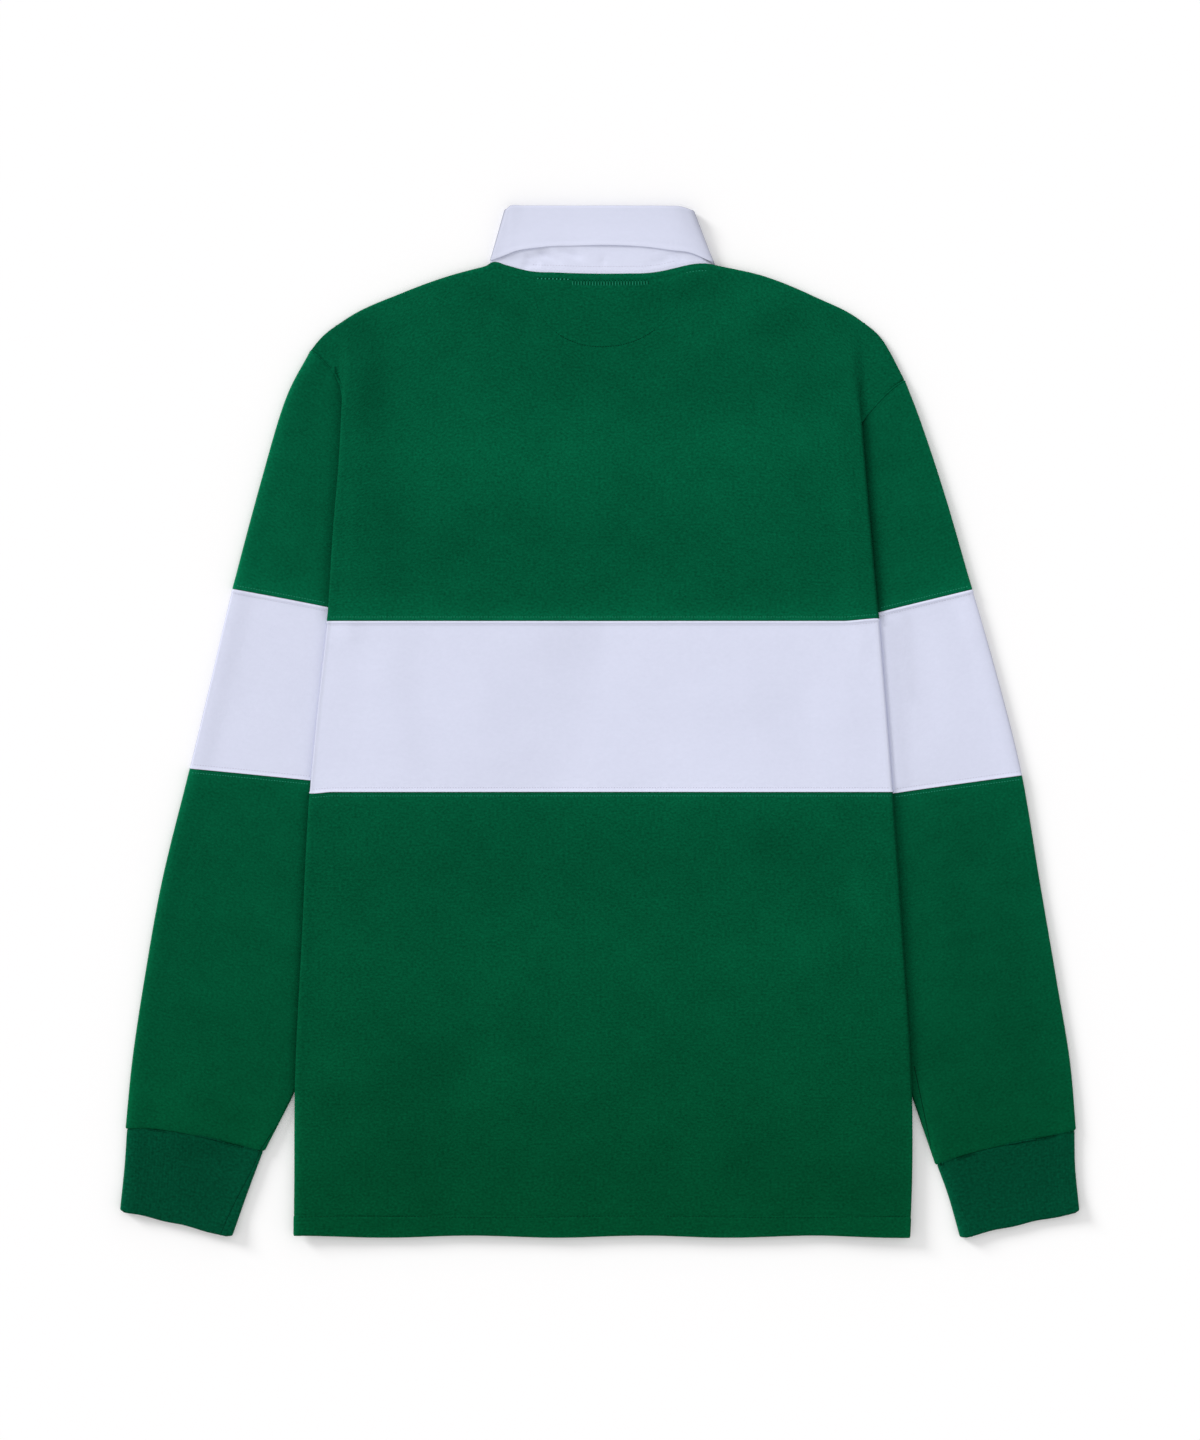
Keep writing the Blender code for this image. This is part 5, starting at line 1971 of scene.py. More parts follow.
@dataclass
class Sleeve:
    """One sleeve in three parts, and its ribbed cuff, each a flat tube."""

    lay: Lay
    side: Side
    green: bpy.types.Material
    white: bpy.types.Material
    rib: bpy.types.Material
    pitch: float = PITCH
    cuff_pitch: float = 0.45
    under_columns: int = 24
    rib_pitch: float = 2.3
    rib_height: float = 0.07
    corner: float = 2.2
    narrow: float = 0.05
    wave: float = 0.35
    unevenness: float = 0.16
    seam_inside: float = 6.5
    seam_slants: float = 70.0
    tuck: float = 0.8
    swell: Swell = Swell(1.2, 5.0, 9.0)
    press: float = 1.1
    press_on_band: float = 0.15
    # How much darker the white band is, the painted shade at its outer edge, and how far the painted shadow
    # beside the body reaches on it
    band_tone: float = 0.982
    band_edge_shade: Swell = Swell(-0.06, 0.0, 3.0)
    band_shade_reach: float = 3.0
    samples: int = 200
    square_corner: float = 0.01
    cuff_narrows_over: float = 2.5
    wrist_widens_over: float = 4.0
    wave_run: float = 5.2
    wave_from: float = 8.0
    under_relief: float = 0.35
    covered_margin: float = 6.0
    sunk_width: float = 0.8
    uncovered_from: float = 2.0
    uncovered_run: float = 16.0
    lower_run: float = 40.0
    press_from: float = 0.5
    press_end_run: float = 20.0
    press_top_run: float = 40.0
    rise_from: float = 1.2
    rise_run: float = 4.0
    rise_flat: float = 3.0
    rise_width: float = 9.0
    rib_margin: float = 3.0
    seam_width: float = 0.8
    seam_depth: float = 0.25

    def ring(self, over: Array, under: int) -> tuple[Array, Array, Array]:
        """A ring round the flat tube.

        Args:
            over: The places of its upper layer's columns, from 0 to 1 between the two rolls.
            under: How many columns its lower layer has.

        Returns:
            Where each point lies between the two rolls, how far outside that it reaches, as a
            share of ROLL, and its height.
        """
        angles = np.radians(np.linspace(0.0, 90.0, 6))
        reach, height = np.cos(angles), ROLL + ROLL * np.sin(angles)
        back = np.linspace(1.0, 0.0, under + 1)[1:-1]
        ends, low = np.zeros(6), PAIR - height
        place = np.concatenate([ends, over, ends + 1, ends[1:] + 1, back, ends])
        none, none_under = np.zeros(len(over)), np.zeros(len(back))
        beyond = np.concatenate([-reach, none, reach[::-1], reach[1:], none_under, -reach[::-1]])
        heights = np.concatenate([height, none + PAIR, height[::-1], low[1:], none_under, low[::-1]])
        return place, beyond, heights

    def grid(self, sections: Sequence[Section], start: float, end: float, ends: tuple[Hem, Hem]) -> Grid:
        """A stretch of the tube.

        Args:
            sections: The sections of the sleeve or the cuff.
            start: Where it starts, counted in sections.
            end: Where it ends.
            ends: How its two ends are finished.

        Returns:
            The grid of its outer face.
        """
        is_cuff = ends[1] is Hem.FOLDED
        is_first = start == 0
        fine = np.linspace(start, end, self.samples)
        line, widths = self.lay.arm_point(sections, fine, 0.5)
        along = run_along(line)
        length, mean = along[-1], float(widths.mean()) - 2 * ROLL
        over = spaced(mean, self.cuff_pitch if is_cuff else self.pitch)[1:-1] / mean
        place, beyond, heights = self.ring(over, self.under_columns)
        first_gap, last_gap = -self.tuck if is_first else JOIN, 0.0 if is_cuff else JOIN
        marks = spaced(length, self.pitch, (0.0, length))
        marks = first_gap + marks * (length - (first_gap + last_gap)) / length
        index = np.interp(marks, along, fine)[:, None]
        marks = marks[:, None]
        from_start, from_end = marks - first_gap, marks[-1] - marks
        _, width = self.lay.arm_point(sections, index, 0.5)
        cut = self.roll_inset(marks, from_end, ends[1])
        shares = (cut + place * (width - 2 * cut) + beyond * ROLL) / width
        plan, _ = self.lay.arm_point(sections, index, shares)
        if is_cuff:
            wave = np.sin(plan[..., 0] / self.wave_run) * step(1 - from_end / self.wave_from)
            plan[..., 1] += self.wave * wave
        points = np.concatenate([plan, np.broadcast_to(heights, plan.shape[:2])[..., None]], axis=-1)
        inset = self.lay.inset(points[..., 0], points[..., 1])
        outer, inner = shares * width, (1 - shares) * width
        upper = step((heights - ROLL) / ROLL)
        swollen = swelling((self.swell,), outer) + swelling((self.swell,), inner)
        points[..., 2] += upper * self.uncovered(inset) * swollen
        points[..., 2] += upper * self.beside_body(inset, points[..., 1])
        relief = ends[0].relief(from_start) + ends[1].relief(from_end)
        relief = relief * between(self.under_relief, 1.0, upper) + self.creased(points, inset) * upper
        if is_first:
            relief = relief + ARMS[self.side].sunk_seam * bump(from_start, self.sunk_width) * upper
        if is_cuff:
            points[..., 2] += ARMS[self.side].cuff_curl * upper * step(1 - from_end / CUFF_CURL_RUN)
            flat = width - 2 * ROLL
            relief = relief + self.ribbing(place * flat, flat, marks) * upper
        light = self.light(points, inset, (outer, inner), ends[0] is Hem.BAND_TOP)
        light = light * ends[0].tone(marks) * ends[1].tone(from_end)
        under = heights < ROLL - 0.1
        if self.side is Side.RIGHT:
            points, relief, light, under = points[:, ::-1], relief[:, ::-1], light[:, ::-1], under[::-1]
        axis = line[0] - line[-1]
        grid = Grid.from_plan(points, math.atan2(axis[1], axis[0]), under)
        grid.shade = light
        grid.points = points + normals(points) * relief[..., None]
        grid.points[:, -1] = grid.points[:, 0] = (grid.points[:, -1] + grid.points[:, 0]) / 2
        return grid

    def roll_inset(self, down: Array, from_end: Array, end: Hem) -> Array:
        """How far inside the tube's edges its rolls lie, which is more at a rounded corner.

        Args:
            down: How far down the tube each row lies.
            from_end: How far it lies from the tube's end.
            end: How that end is finished.

        Returns:
            The distance at each row.
        """
        corner = self.corner if end in (Hem.DARK_SEAM, Hem.FOLDED) else self.square_corner
        into_corner = np.maximum(0.0, corner - from_end)
        inset = ROLL + corner - np.sqrt(corner**2 - into_corner**2)
        if end is Hem.FOLDED:
            inset = inset + self.narrow * bump(down, self.cuff_narrows_over)
        elif end is Hem.DARK_SEAM:
            inset = inset - self.narrow * bump(from_end, self.wrist_widens_over)
        return inset

    def creased(self, points: Array, inset: Array) -> Array:
        """The sleeve's creases and its unevenness, which the body presses flat.

        Args:
            points: The points.
            inset: How far inside the body's side each lies.

        Returns:
            The height at each point.
        """
        across, up = points[..., 0], points[..., 1]
        soft = ripple(across, up, SLEEVE_SEED + self.side.outwards, self.unevenness)
        soft = soft + crease_relief(SLEEVE_CREASES[self.side], across, up)
        return soft * (1 - step((inset + self.covered_margin) / self.covered_margin))

    def uncovered(self, inset: Array) -> Array:
        """How free of the body the sleeve lies, from 0 to 1."""
        return step((-inset - self.uncovered_from) / self.uncovered_run)

    def lower(self, up: Array) -> Array:
        """How far below the band's top the sleeve has come, from 0 to 1."""
        return step((BAND_TOP - up) / self.lower_run)

    def beside_body(self, inset: Array, up: Array) -> Array:
        """How the body presses the sleeve down along its side, and how its band rises there.

        Args:
            inset: How far inside the body's side each point lies.
            up: Its height in plan.

        Returns:
            What this adds to the height of the upper layer.
        """
        arm, band = ARMS[self.side], on_band(up, 2 * BAND_MARGIN)
        width = between(*arm.press_widths, self.lower(up))
        pressed = self.press * bump(np.maximum(-inset - self.press_from, 0.0), width)
        above_end = step((up - arm.press_end + self.press_end_run / 2) / self.press_end_run)
        pressed = pressed * above_end * between(1.0, self.press_on_band, band)
        pressed = pressed * step((FOLD_HIGH - up) / self.press_top_run)
        rise = arm.band_rise * band * step((self.rise_from - inset) / self.rise_run)
        return rise * bump(np.maximum(-inset - self.rise_flat, 0.0), self.rise_width) - pressed

    def ribbing(self, across: Array, flat: Array, down: Array) -> Array:
        """The ribs of the cuff, and its seam.

        Args:
            across: How far inside the outer roll each point lies.
            flat: How far apart the two rolls are.
            down: How far down the cuff it lies.

        Returns:
            The height at each point.
        """
        margin = step(np.minimum(across, flat - across) / self.rib_margin)
        ribs = self.rib_height * np.cos(2 * math.pi * across / self.rib_pitch) * margin
        seam = bump(flat - across - self.seam_inside * step(down / self.seam_slants), self.seam_width)
        return ribs - self.seam_depth * seam

    def light(self, points: Array, inset: Array, inside: tuple[Array, Array], is_white: bool) -> Array:
        """The painted light and shade on the colour: a painted highlight beside the sleeve's edges, a painted
        shadow beside the body, and soft painted patches.

        Args:
            points: The points.
            inset: How far inside the body's side each lies.
            inside: How far inside the sleeve's outer and inner edges it lies.
            is_white: Whether it lies on the white band, whose edges get painted shade instead.

        Returns:
            The factor on the colour at each point.
        """
        arm, looks = ARMS[self.side], self.side.outwards
        outside, lower = np.maximum(-inset, 0.0), self.lower(points[..., 1])
        if is_white:
            light = (self.band_tone + swelling((self.band_edge_shade,), inside[0])) * painted_wall_shade(points)
            light = light - arm.band_shade * bump(outside, self.band_shade_reach)
        else:
            reach = between(*arm.shade_reaches, lower)
            shadow = bump(outside, reach) if self.side is Side.LEFT else np.exp(-outside / reach)
            light = painted_rim_light(inside[0], -looks) * between(1.0, painted_rim_light(inside[1], looks), self.uncovered(inset))
            light = light * (1 - between(*arm.shades, lower) * shadow)
        return light * painted_soft_shading(points[..., 0], points[..., 1])

    def build(self) -> list[bpy.types.Object]:
        """Makes and dresses the three parts and the cuff.

        Returns:
            The pieces, from the shoulder down.
        """
        sleeve, cuff = SLEEVES[self.side], CUFFS[self.side]
        armhole, last = ARMS[self.side].armhole, len(sleeve) - 1
        made = (
            ("sleeve_upper", sleeve, 0, BAND_START, (armhole, Hem.ABOVE_BAND), "jersey_green"),
            ("sleeve_band", sleeve, BAND_START, BAND_END, (Hem.BAND_TOP, Hem.BAND_FOOT), "jersey_white"),
            ("sleeve_lower", sleeve, BAND_END, last, (Hem.BELOW_BAND, Hem.DARK_SEAM), "jersey_green"),
            ("cuff", cuff, 0, 2, (Hem.DARK_SEAM, Hem.FOLDED), "rib_green"),
        )
        finishes = {"jersey_green": self.green, "jersey_white": self.white, "rib_green": self.rib}
        pieces = []
        for part, sections, start, end, ends, slot in made:
            node = f"{part}_{self.side.value}"
            grid = self.grid(sections, start, end, ends)
            piece = sew(f"{node}_cloth", [grid], finishes[slot])
            dress(piece, [node], slot)
            declare(piece, [grid])
            pieces.append(piece)
        return pieces


# The collar


@dataclass
class Collar:
    """The turned-down collar: one folded strip of twill whose back half lies on top."""

    lay: Lay
    twill: bpy.types.Material
    stand_turn: float = 1.2
    leaf_turn: float = 2.7
    fold_depth: float = 0.9 * CLOTH
    puff: float = 3.6
    stand_puff: float = 0.35
    tuck_depth: float = 3.5
    tuck_drops: tuple[float, float] = (1.8, 0.3)
    leaf_rise: float = 2.0
    leaf_press: float = 0.5
    seam_ease: float = 0.35
    unevenness: float = 0.12
    # Painted shade on the roll that faces the window, how much darker the stand is, a painted shadow line in
    # the gap at the tuck, and painted shade under the leaf's edge
    roll_shade: float = 0.28
    stand_shade: float = 0.035
    tuck: Crease = Crease("tuck at the right end", 79.9, 356.4, 86.2, 352.3, 0.9, -0.65)
    under_leaf: Crease = Crease("under the leaf", -76, 355.5, -40, 362.5, 2.4, -0.09)
    leaf_edge: tuple[Swell, ...] = (Swell(-0.14, 0.89, 0.03), Swell(0.06, 0.93, 0.05))
    puckers: Swell = Swell(0.07, 56.0, 12.0)
    pucker_run: float = 0.62
    wave: float = 0.15
    wave_run: float = 13.0
    wave_phase: float = 0.6
    wave_from: float = 0.55
    wave_over: float = 0.4
    pucker_middle: float = 0.84
    pucker_width: float = 0.12
    stand_rises_from: float = 0.2
    leaf_presses_over: float = 0.6
    ease_over: float = 0.036
    behind_run: float = 1.5
    back_margin: float = 6.0
    least_step: float = 4.0
    columns: int = 400
    guide: int = 27

    def stations(self) -> list[Leaf]:
        """All stations.

        Returns:
            The stations from the centre front round the left side, the back and the right side.
        """
        left = [COLLAR_LEFT._replace(turn=turn) for turn in SIDE_TURNS]
        right = [COLLAR_RIGHT._replace(turn=turn) for turn in reversed(SIDE_TURNS)]
        mirrored = [
            leaf._replace(
                seam_across=2 * self.lay.centre - leaf.seam_across,
                fold_across=2 * self.lay.centre - leaf.fold_across,
                edge_across=2 * self.lay.centre - leaf.edge_across,
            )
            for leaf in reversed(COLLAR_FRONT)
        ]
        return [*COLLAR_FRONT, *left, *COLLAR_BACK, *right, *mirrored]

    def profile(self) -> list[Place]:
        """The places over the collar at which it has points.

        Returns:
            The places from below its neck seam to its leaf's edge.
        """
        shares = (
            (Layer.TUCK, (0.0, 0.9)),
            (Layer.STAND, (0.0, 0.01, 0.022, self.ease_over, *np.linspace(0.055, 0.97, 24))),
            (Layer.FOLD, np.linspace(0.05, 0.95, 9)),
            (Layer.LEAF, (*np.linspace(0.03, 0.9, 16), *np.linspace(0.93, 1.0, 5))),
        )
        return [Place(layer, float(share)) for layer, row in shares for share in row]

    def shares_of(self, layer: Layer, profile: Sequence[Place]) -> Array:
        """The shares of the places on one layer, and -1 elsewhere, as a column."""
        return np.array([place.share if place.layer is layer else -1.0 for place in profile])[:, None]

    def point(self, leaf: Leaf, place: Place) -> Array:
        """The middle of the cloth at one place of a station.

        Args:
            leaf: The station.
            place: The place over the collar.

        Returns:
            The point.
        """
        layer, share = place
        seam = np.array([leaf.seam_across, leaf.seam_up])
        fold = np.array([leaf.fold_across, leaf.fold_up])
        edge = np.array([leaf.edge_across, leaf.edge_up])
        turn = math.radians(leaf.turn)
        behind = max(0.0, math.sin(turn))
        outwards = -1 if leaf.fold_across < self.lay.centre else 1
        radius, rise, drop = self.stand_turn, 0.0, 0.0
        if layer is Layer.TUCK:
            plan = seam
            if behind > 0.0:
                plan = seam - (fold - seam) / np.linalg.norm(fold - seam) * self.tuck_depth * (1 - share)
                drop = behind * between(*self.tuck_drops, share)
        elif layer is Layer.STAND:
            run = self.fold_depth / np.linalg.norm(fold - seam)
            plan = between(seam, fold, share * (1 - run))
            up_stand = (share - self.stand_rises_from) / (1 - self.stand_rises_from)
            rise = self.puff * self.stand_puff * float(step(up_stand))
        elif layer is Layer.LEAF:
            run = self.fold_depth / np.linalg.norm(edge - fold)
            plan = between(fold, edge, between(run, 1.0, share))
            radius = self.leaf_turn
            pressed = float(step(share / self.leaf_presses_over))
            rise = self.leaf_rise * (1.0 - share) - self.leaf_press * pressed
        else:
            centre = fold + (seam - fold) / np.linalg.norm(seam - fold) * self.fold_depth
            plan = centre + (fold - centre) * math.sin(math.pi * share)
            over = (1 - math.cos(math.pi * share)) / 2
            radius = between(self.stand_turn, self.leaf_turn, over)
            rise = between(self.puff * self.stand_puff, self.leaf_rise, over)
        if leaf.turn not in (-90, 90):
            plan = plan + np.array([outwards * (radius * math.cos(turn) - self.leaf_turn - CLOTH / 2), 0.0])
        height = self.leaf_turn + CLOTH / 2 + radius * math.sin(turn) + rise * behind**2 - drop
        return np.array([plan[0], plan[1], height])

    def grid(self) -> Grid:
        """The collar's cloth, smooth between its stations.

        Returns:
            The grid of its middle.
        """
        profile = self.profile()
        knots = np.array([[self.point(leaf, place) for place in profile] for leaf in self.stations()])
        steps = np.linalg.norm(np.diff(knots[:, self.guide], axis=0), axis=-1)
        keys = np.concatenate([[0.0], np.cumsum(np.maximum(steps, self.least_step))])
        at = np.linspace(0.0, keys[-1], self.columns)
        flat = knots.reshape(len(knots), -1)
        points = through(keys, flat, at).reshape(len(at), -1, 3).transpose(1, 0, 2)
        grid = Grid.from_points(points, self.columns // 2)
        grid.points = points + normals(points) * self.relief(points, profile)[..., None]
        grid.shade = self.shade(points, profile)
        return grid

    def shade(self, points: Array, profile: Sequence[Place]) -> Array:
        """The painted light and shade on the collar's colour: painted shade where it rolls away, on the roll
        that faces the window, on steep walls and under the leaf's edge, a painted shadow line at the tuck,
        and a painted highlight along the neck seam.

        Args:
            points: The points, with the profile down the rows.
            profile: The places over the collar.

        Returns:
            The factor on the colour at each point.
        """
        across, up = points[..., 0], points[..., 1]
        stand = np.array([place.layer in (Layer.STAND, Layer.TUCK) for place in profile])[:, None]
        is_back = up > min(spot.up for spot in BACK_NECK) - self.back_margin
        left_end, right_end = (
            between(foot.across, top.across, (up - foot.up) / (top.up - foot.up))
            for foot, top in (LEFT_END, RIGHT_END)
        )
        out = normals(points)
        away = TOWARDS_WINDOW[0] * out[..., 0] + TOWARDS_WINDOW[1] * out[..., 1]
        tone = 1 - faded(LEFT_END_SHADE, across - left_end)
        tone = tone - self.roll_shade * np.maximum(0.0, away) * (out[..., 2] > 0)
        tone = tone - faded(FOLD_SHADE, COLLAR_TOP - up) - self.stand_shade * stand
        tone = tone - faded(RIGHT_END_SHADE, right_end - across)
        edges = [COLLAR_LEFT, *COLLAR_BACK, COLLAR_RIGHT]
        edge_up = np.interp(across, [leaf.edge_across for leaf in edges], [leaf.edge_up for leaf in edges])
        tone = tone - faded(UNDER_LEAF_SHADE, edge_up - up) * stand
        tone = tone + painted_patches((self.under_leaf,), across, up) * stand
        tone = tone * (1 + painted_patches((self.tuck,), across, up) * stand)
        tone = tone + faded(NECK_SEAM_LIGHT, up - self.lay.top_edge(across)) * stand
        return np.where(is_back, tone, 1.0) * painted_wall_shade(points)

    def relief(self, points: Array, profile: Sequence[Place]) -> Array:
        """The wrinkles of the stand, the stitching of the leaf and the softness of both.

        Args:
            points: The points, with the profile down the rows.
            profile: The places over the collar.

        Returns:
            The height at each point.
        """
        across, up = points[..., 0], points[..., 1]
        leaf, stand = (self.shares_of(layer, profile) for layer in (Layer.LEAF, Layer.STAND))
        behind = step((points[..., 2] - self.leaf_turn) / self.behind_run)
        edge = swelling(self.leaf_edge, leaf) * (leaf >= 0)
        puckers = swelling((self.puckers,), across) * np.sin(across / self.pucker_run)
        puckers = puckers * bump(leaf - self.pucker_middle, self.pucker_width)
        wave = self.wave * np.sin(across / self.wave_run + self.wave_phase)
        wave = wave * step((leaf - self.wave_from) / self.wave_over)
        wrinkles = crease_relief(COLLAR_CREASES, across, up) * (stand >= 0) * behind
        ease = step((self.ease_over - stand) / self.ease_over)
        wrinkles = wrinkles + self.seam_ease * ease * (stand >= 0) * behind
        soft = ripple(across, up, COLLAR_SEED, self.unevenness) * behind
        return (edge + puckers + wave) * behind + wrinkles + soft

    def build(self) -> bpy.types.Object:
        """Makes and dresses the collar.

        Returns:
            The collar.
        """
        grid = self.grid()
        piece = sew("collar_cloth", [grid], self.twill, 0.0)
        dress(piece, ["collar"], "twill_white")
        declare(piece, [grid])
        return piece


@dataclass
class Placket:
    """The strip that closes the neck opening, with its rubber buttons on its outer side."""

    lay: Lay
    body: Body
    twill: bpy.types.Material
    rubber: bpy.types.Material
    width: float = 30.0
    end_share: float = 0.82
    buttons: int = 3
    button_radius: float = 6.5
    button_rim: float = 1.3
    button_pitch: float = 52.0
    first_button: float = 249.3
    edge_stitch: Swell = Swell(0.15, 3.0, 0.8)

    def grid(self) -> Grid:
        """The strip.

        Returns:
            The grid of its inner face.
        """
        across = self.lay.centre + np.linspace(-self.width / 2, self.width / 2, 25)
        top = self.body.front_neck(across)
        side = abs(across[0] - SEAM - self.lay.centre)
        beside = self.body.front_neck(np.array([self.lay.centre - side]))[0]
        bottom = between(beside, BAND_TOP + SEAM / 2, self.end_share) + SEAM
        rows = np.linspace(0.0, 1.0, 60)[:, None]
        up = between(top, bottom, rows)
        across = np.broadcast_to(across, up.shape)
        inside = np.minimum(across - across.min(), across.max() - across)
        height = self.lay.front_top(across, up) + swelling((self.edge_stitch,), inside)
        return Grid.from_points(np.stack([across, up, height], axis=-1), 12)

    def button(self, number: int) -> bpy.types.Object:
        """One flat rubber button with a rim round its sunk face.

        Args:
            number: Which button, counted from the neck.

        Returns:
            The button.
        """
        up = self.first_button - (number - 1) * self.button_pitch
        bpy.ops.object.select_all(action="DESELECT")
        bpy.ops.mesh.primitive_cylinder_add(
            vertices=48, radius=self.button_radius * MM, depth=CLOTH * MM,
            location=(self.lay.centre * MM, up * MM, CLOTH / 2 * MM),
        )
        piece = bpy.context.object
        piece.name = f"button_{number}_rubber"
        bpy.ops.object.transform_apply(location=True, rotation=True, scale=True)
        bpy.ops.object.mode_set(mode="EDIT")
        bm = bmesh.from_edit_mesh(piece.data)
        for face in bm.faces:
            face.select = face.normal.z < -0.9
        bmesh.update_edit_mesh(piece.data)
        bpy.ops.mesh.inset(thickness=self.button_rim * MM, depth=0.0)
        bpy.ops.mesh.inset(thickness=0.5 * MM, depth=-0.35 * MM)
        bpy.ops.object.mode_set(mode="OBJECT")
        soften = piece.modifiers.new("soften", "BEVEL")
        soften.width = 0.22 * MM
        soften.segments = 3
        soften.limit_method = "ANGLE"
        apply_modifier(piece, "soften")
        piece.data.materials.clear()
        piece.data.materials.append(self.rubber)
        piece.data.shade_smooth()
        return piece

    def build(self) -> list[bpy.types.Object]:
        """Makes and dresses the strip and its buttons.

        Returns:
            The strip and the buttons.
        """
        grid = self.grid()
        strip = sew("placket_cloth", [grid], self.twill)
        dress(strip, ["placket"], "twill_white")
        declare(strip, [grid])
        pieces = [strip]
        for number in range(1, self.buttons + 1):
            button = self.button(number)
            dress(button, [f"button_{number}"], "button_white")
            pieces.append(button)
        return pieces


# Stitching


class Thread(NamedTuple):
    """How a row is sewn: its stitches' pitch, length and radius, and whether they lie across it."""

    pitch: float
    length: float
    radius: float
    is_crosswise: bool = False


class Seam(NamedTuple):
    """A row of stitches along a path in plan."""

    name: str
    path: Array
    thread: Thread


HALF_MOON = (
    Spot("left end", -51, 331),
    Spot("left", -45, 312),
    Spot("left curve", -33.1, 299),
    Spot("left of the foot", -16, 290.6),
    Spot("foot", 3.7, 288.4),
    Spot("right of the foot", 25, 292),
    Spot("right curve", 45.7, 304.2),
    Spot("right", 58, 318),
    Spot("right end", 64.5, 331),
)


@dataclass
class Stitcher:
    """Lays rows of stitches on the cloth."""

    surfaces: Sequence[bpy.types.Object]
    sink: float = 0.05
    held: float = 0.8
    steepest: float = 1.2
    flatness: float = 1.6
    sight_from: float = 60.0
    sight: float = 59.5

    def __post_init__(self) -> None:
        """Keeps a tree of each surface, to find its height, and the shape of one stitch."""
        graph = bpy.context.evaluated_depsgraph_get()
        self.trees = [BVHTree.FromObject(piece, graph) for piece in self.surfaces]
        bpy.ops.object.select_all(action="DESELECT")
        bpy.ops.mesh.primitive_uv_sphere_add(segments=6, ring_count=4, radius=0.5)
        stitch = bpy.context.object
        self.verts = np.array([vert.co for vert in stitch.data.vertices])[:, (2, 0, 1)]
        self.faces = [tuple(face.vertices) for face in stitch.data.polygons]
        bpy.data.objects.remove(stitch, do_unlink=True)

    def height(self, across: float, up: float) -> float | None:
        """The height of the cloth at a point in plan.

        Args:
            across: The point's place across.
            up: Its height in plan.

        Returns:
            How high above the ground the cloth lies, or None where there is none.
        """
        start = Vector((across * MM, up * MM, self.sight_from * MM))
        hits = [tree.ray_cast(start, Vector((0.0, 0.0, -1.0)), self.sight * MM)[0] for tree in self.trees]
        found = [hit.z / MM for hit in hits if hit is not None]
        return max(found) if found else None

    def places(self, seam: Seam) -> list[tuple[float, float, float]]:
        """Where the stitches of a row lie.

        Args:
            seam: The row.

        Returns:
            The middle of each in plan, and its heading.
        """
        path = np.asarray(seam.path, float)
        run = run_along(path)
        marks = np.arange(seam.thread.pitch / 2, run[-1], seam.thread.pitch)
        here, ahead, behind = (
            [np.interp(marks + shift, run, path[:, axis]) for axis in (0, 1)] for shift in (0.0, 0.5, -0.5)
        )
        heading = np.arctan2(ahead[1] - behind[1], ahead[0] - behind[0])
        if seam.thread.is_crosswise:
            heading = heading + math.pi / 2
        return list(zip(*here, heading))

    def stitch(self, thread: Thread, across: float, up: float, turn: float) -> Array | None:
        """One stitch on the cloth.

        Args:
            thread: How its row is sewn.
            across: The place across of its middle.
            up: The height in plan of its middle.
            turn: Its heading in plan.

        Returns:
            Its points, or None where the cloth is missing or too steep.
        """
        along = np.array([math.cos(turn), math.sin(turn)]) * thread.length / 2
        first, last = (self.height(across + s * along[0], up + s * along[1]) for s in (-self.held, self.held))
        if first is None or last is None or abs(first - last) > self.steepest:
            return None
        pitch = math.atan2(last - first, thread.length * self.held)
        shape = self.verts * np.array([thread.length, 2 * thread.radius, self.flatness * thread.radius])
        c, s = math.cos(pitch), math.sin(pitch)
        x, y, z = shape[:, 0] * c - shape[:, 2] * s, shape[:, 1], shape[:, 0] * s + shape[:, 2] * c
        c, s = math.cos(turn), math.sin(turn)
        middle = np.array([across, up, (first + last) / 2 - self.sink])
        return np.stack([x * c - y * s, x * s + y * c, z], axis=-1) + middle

    def sew(
        self, name: str, seams: Sequence[Seam], finish: bpy.types.Material, slot: str
    ) -> bpy.types.Object:
        """Makes one piece from rows of stitches.

        Args:
            name: The piece's name.
            seams: The rows.
            finish: The thread's material.
            slot: The slot that it takes its finish from. It is not used.

        Returns:
            The piece.
        """
        found = [self.stitch(seam.thread, *place) for seam in seams for place in self.places(seam)]
        verts = [points for points in found if points is not None]
        faces = [
            tuple(index + number * len(self.verts) for index in face)
            for number in range(len(verts))
            for face in self.faces
        ]
        mesh = bpy.data.meshes.new(name)
        mesh.from_pydata((np.concatenate(verts) * MM).tolist(), [], faces)
        mesh.materials.append(finish)
        mesh.shade_smooth()
        piece = put(name, mesh)
        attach(piece, "root")
        LOG.info("%s: %d stitches", name, len(verts))
        return piece


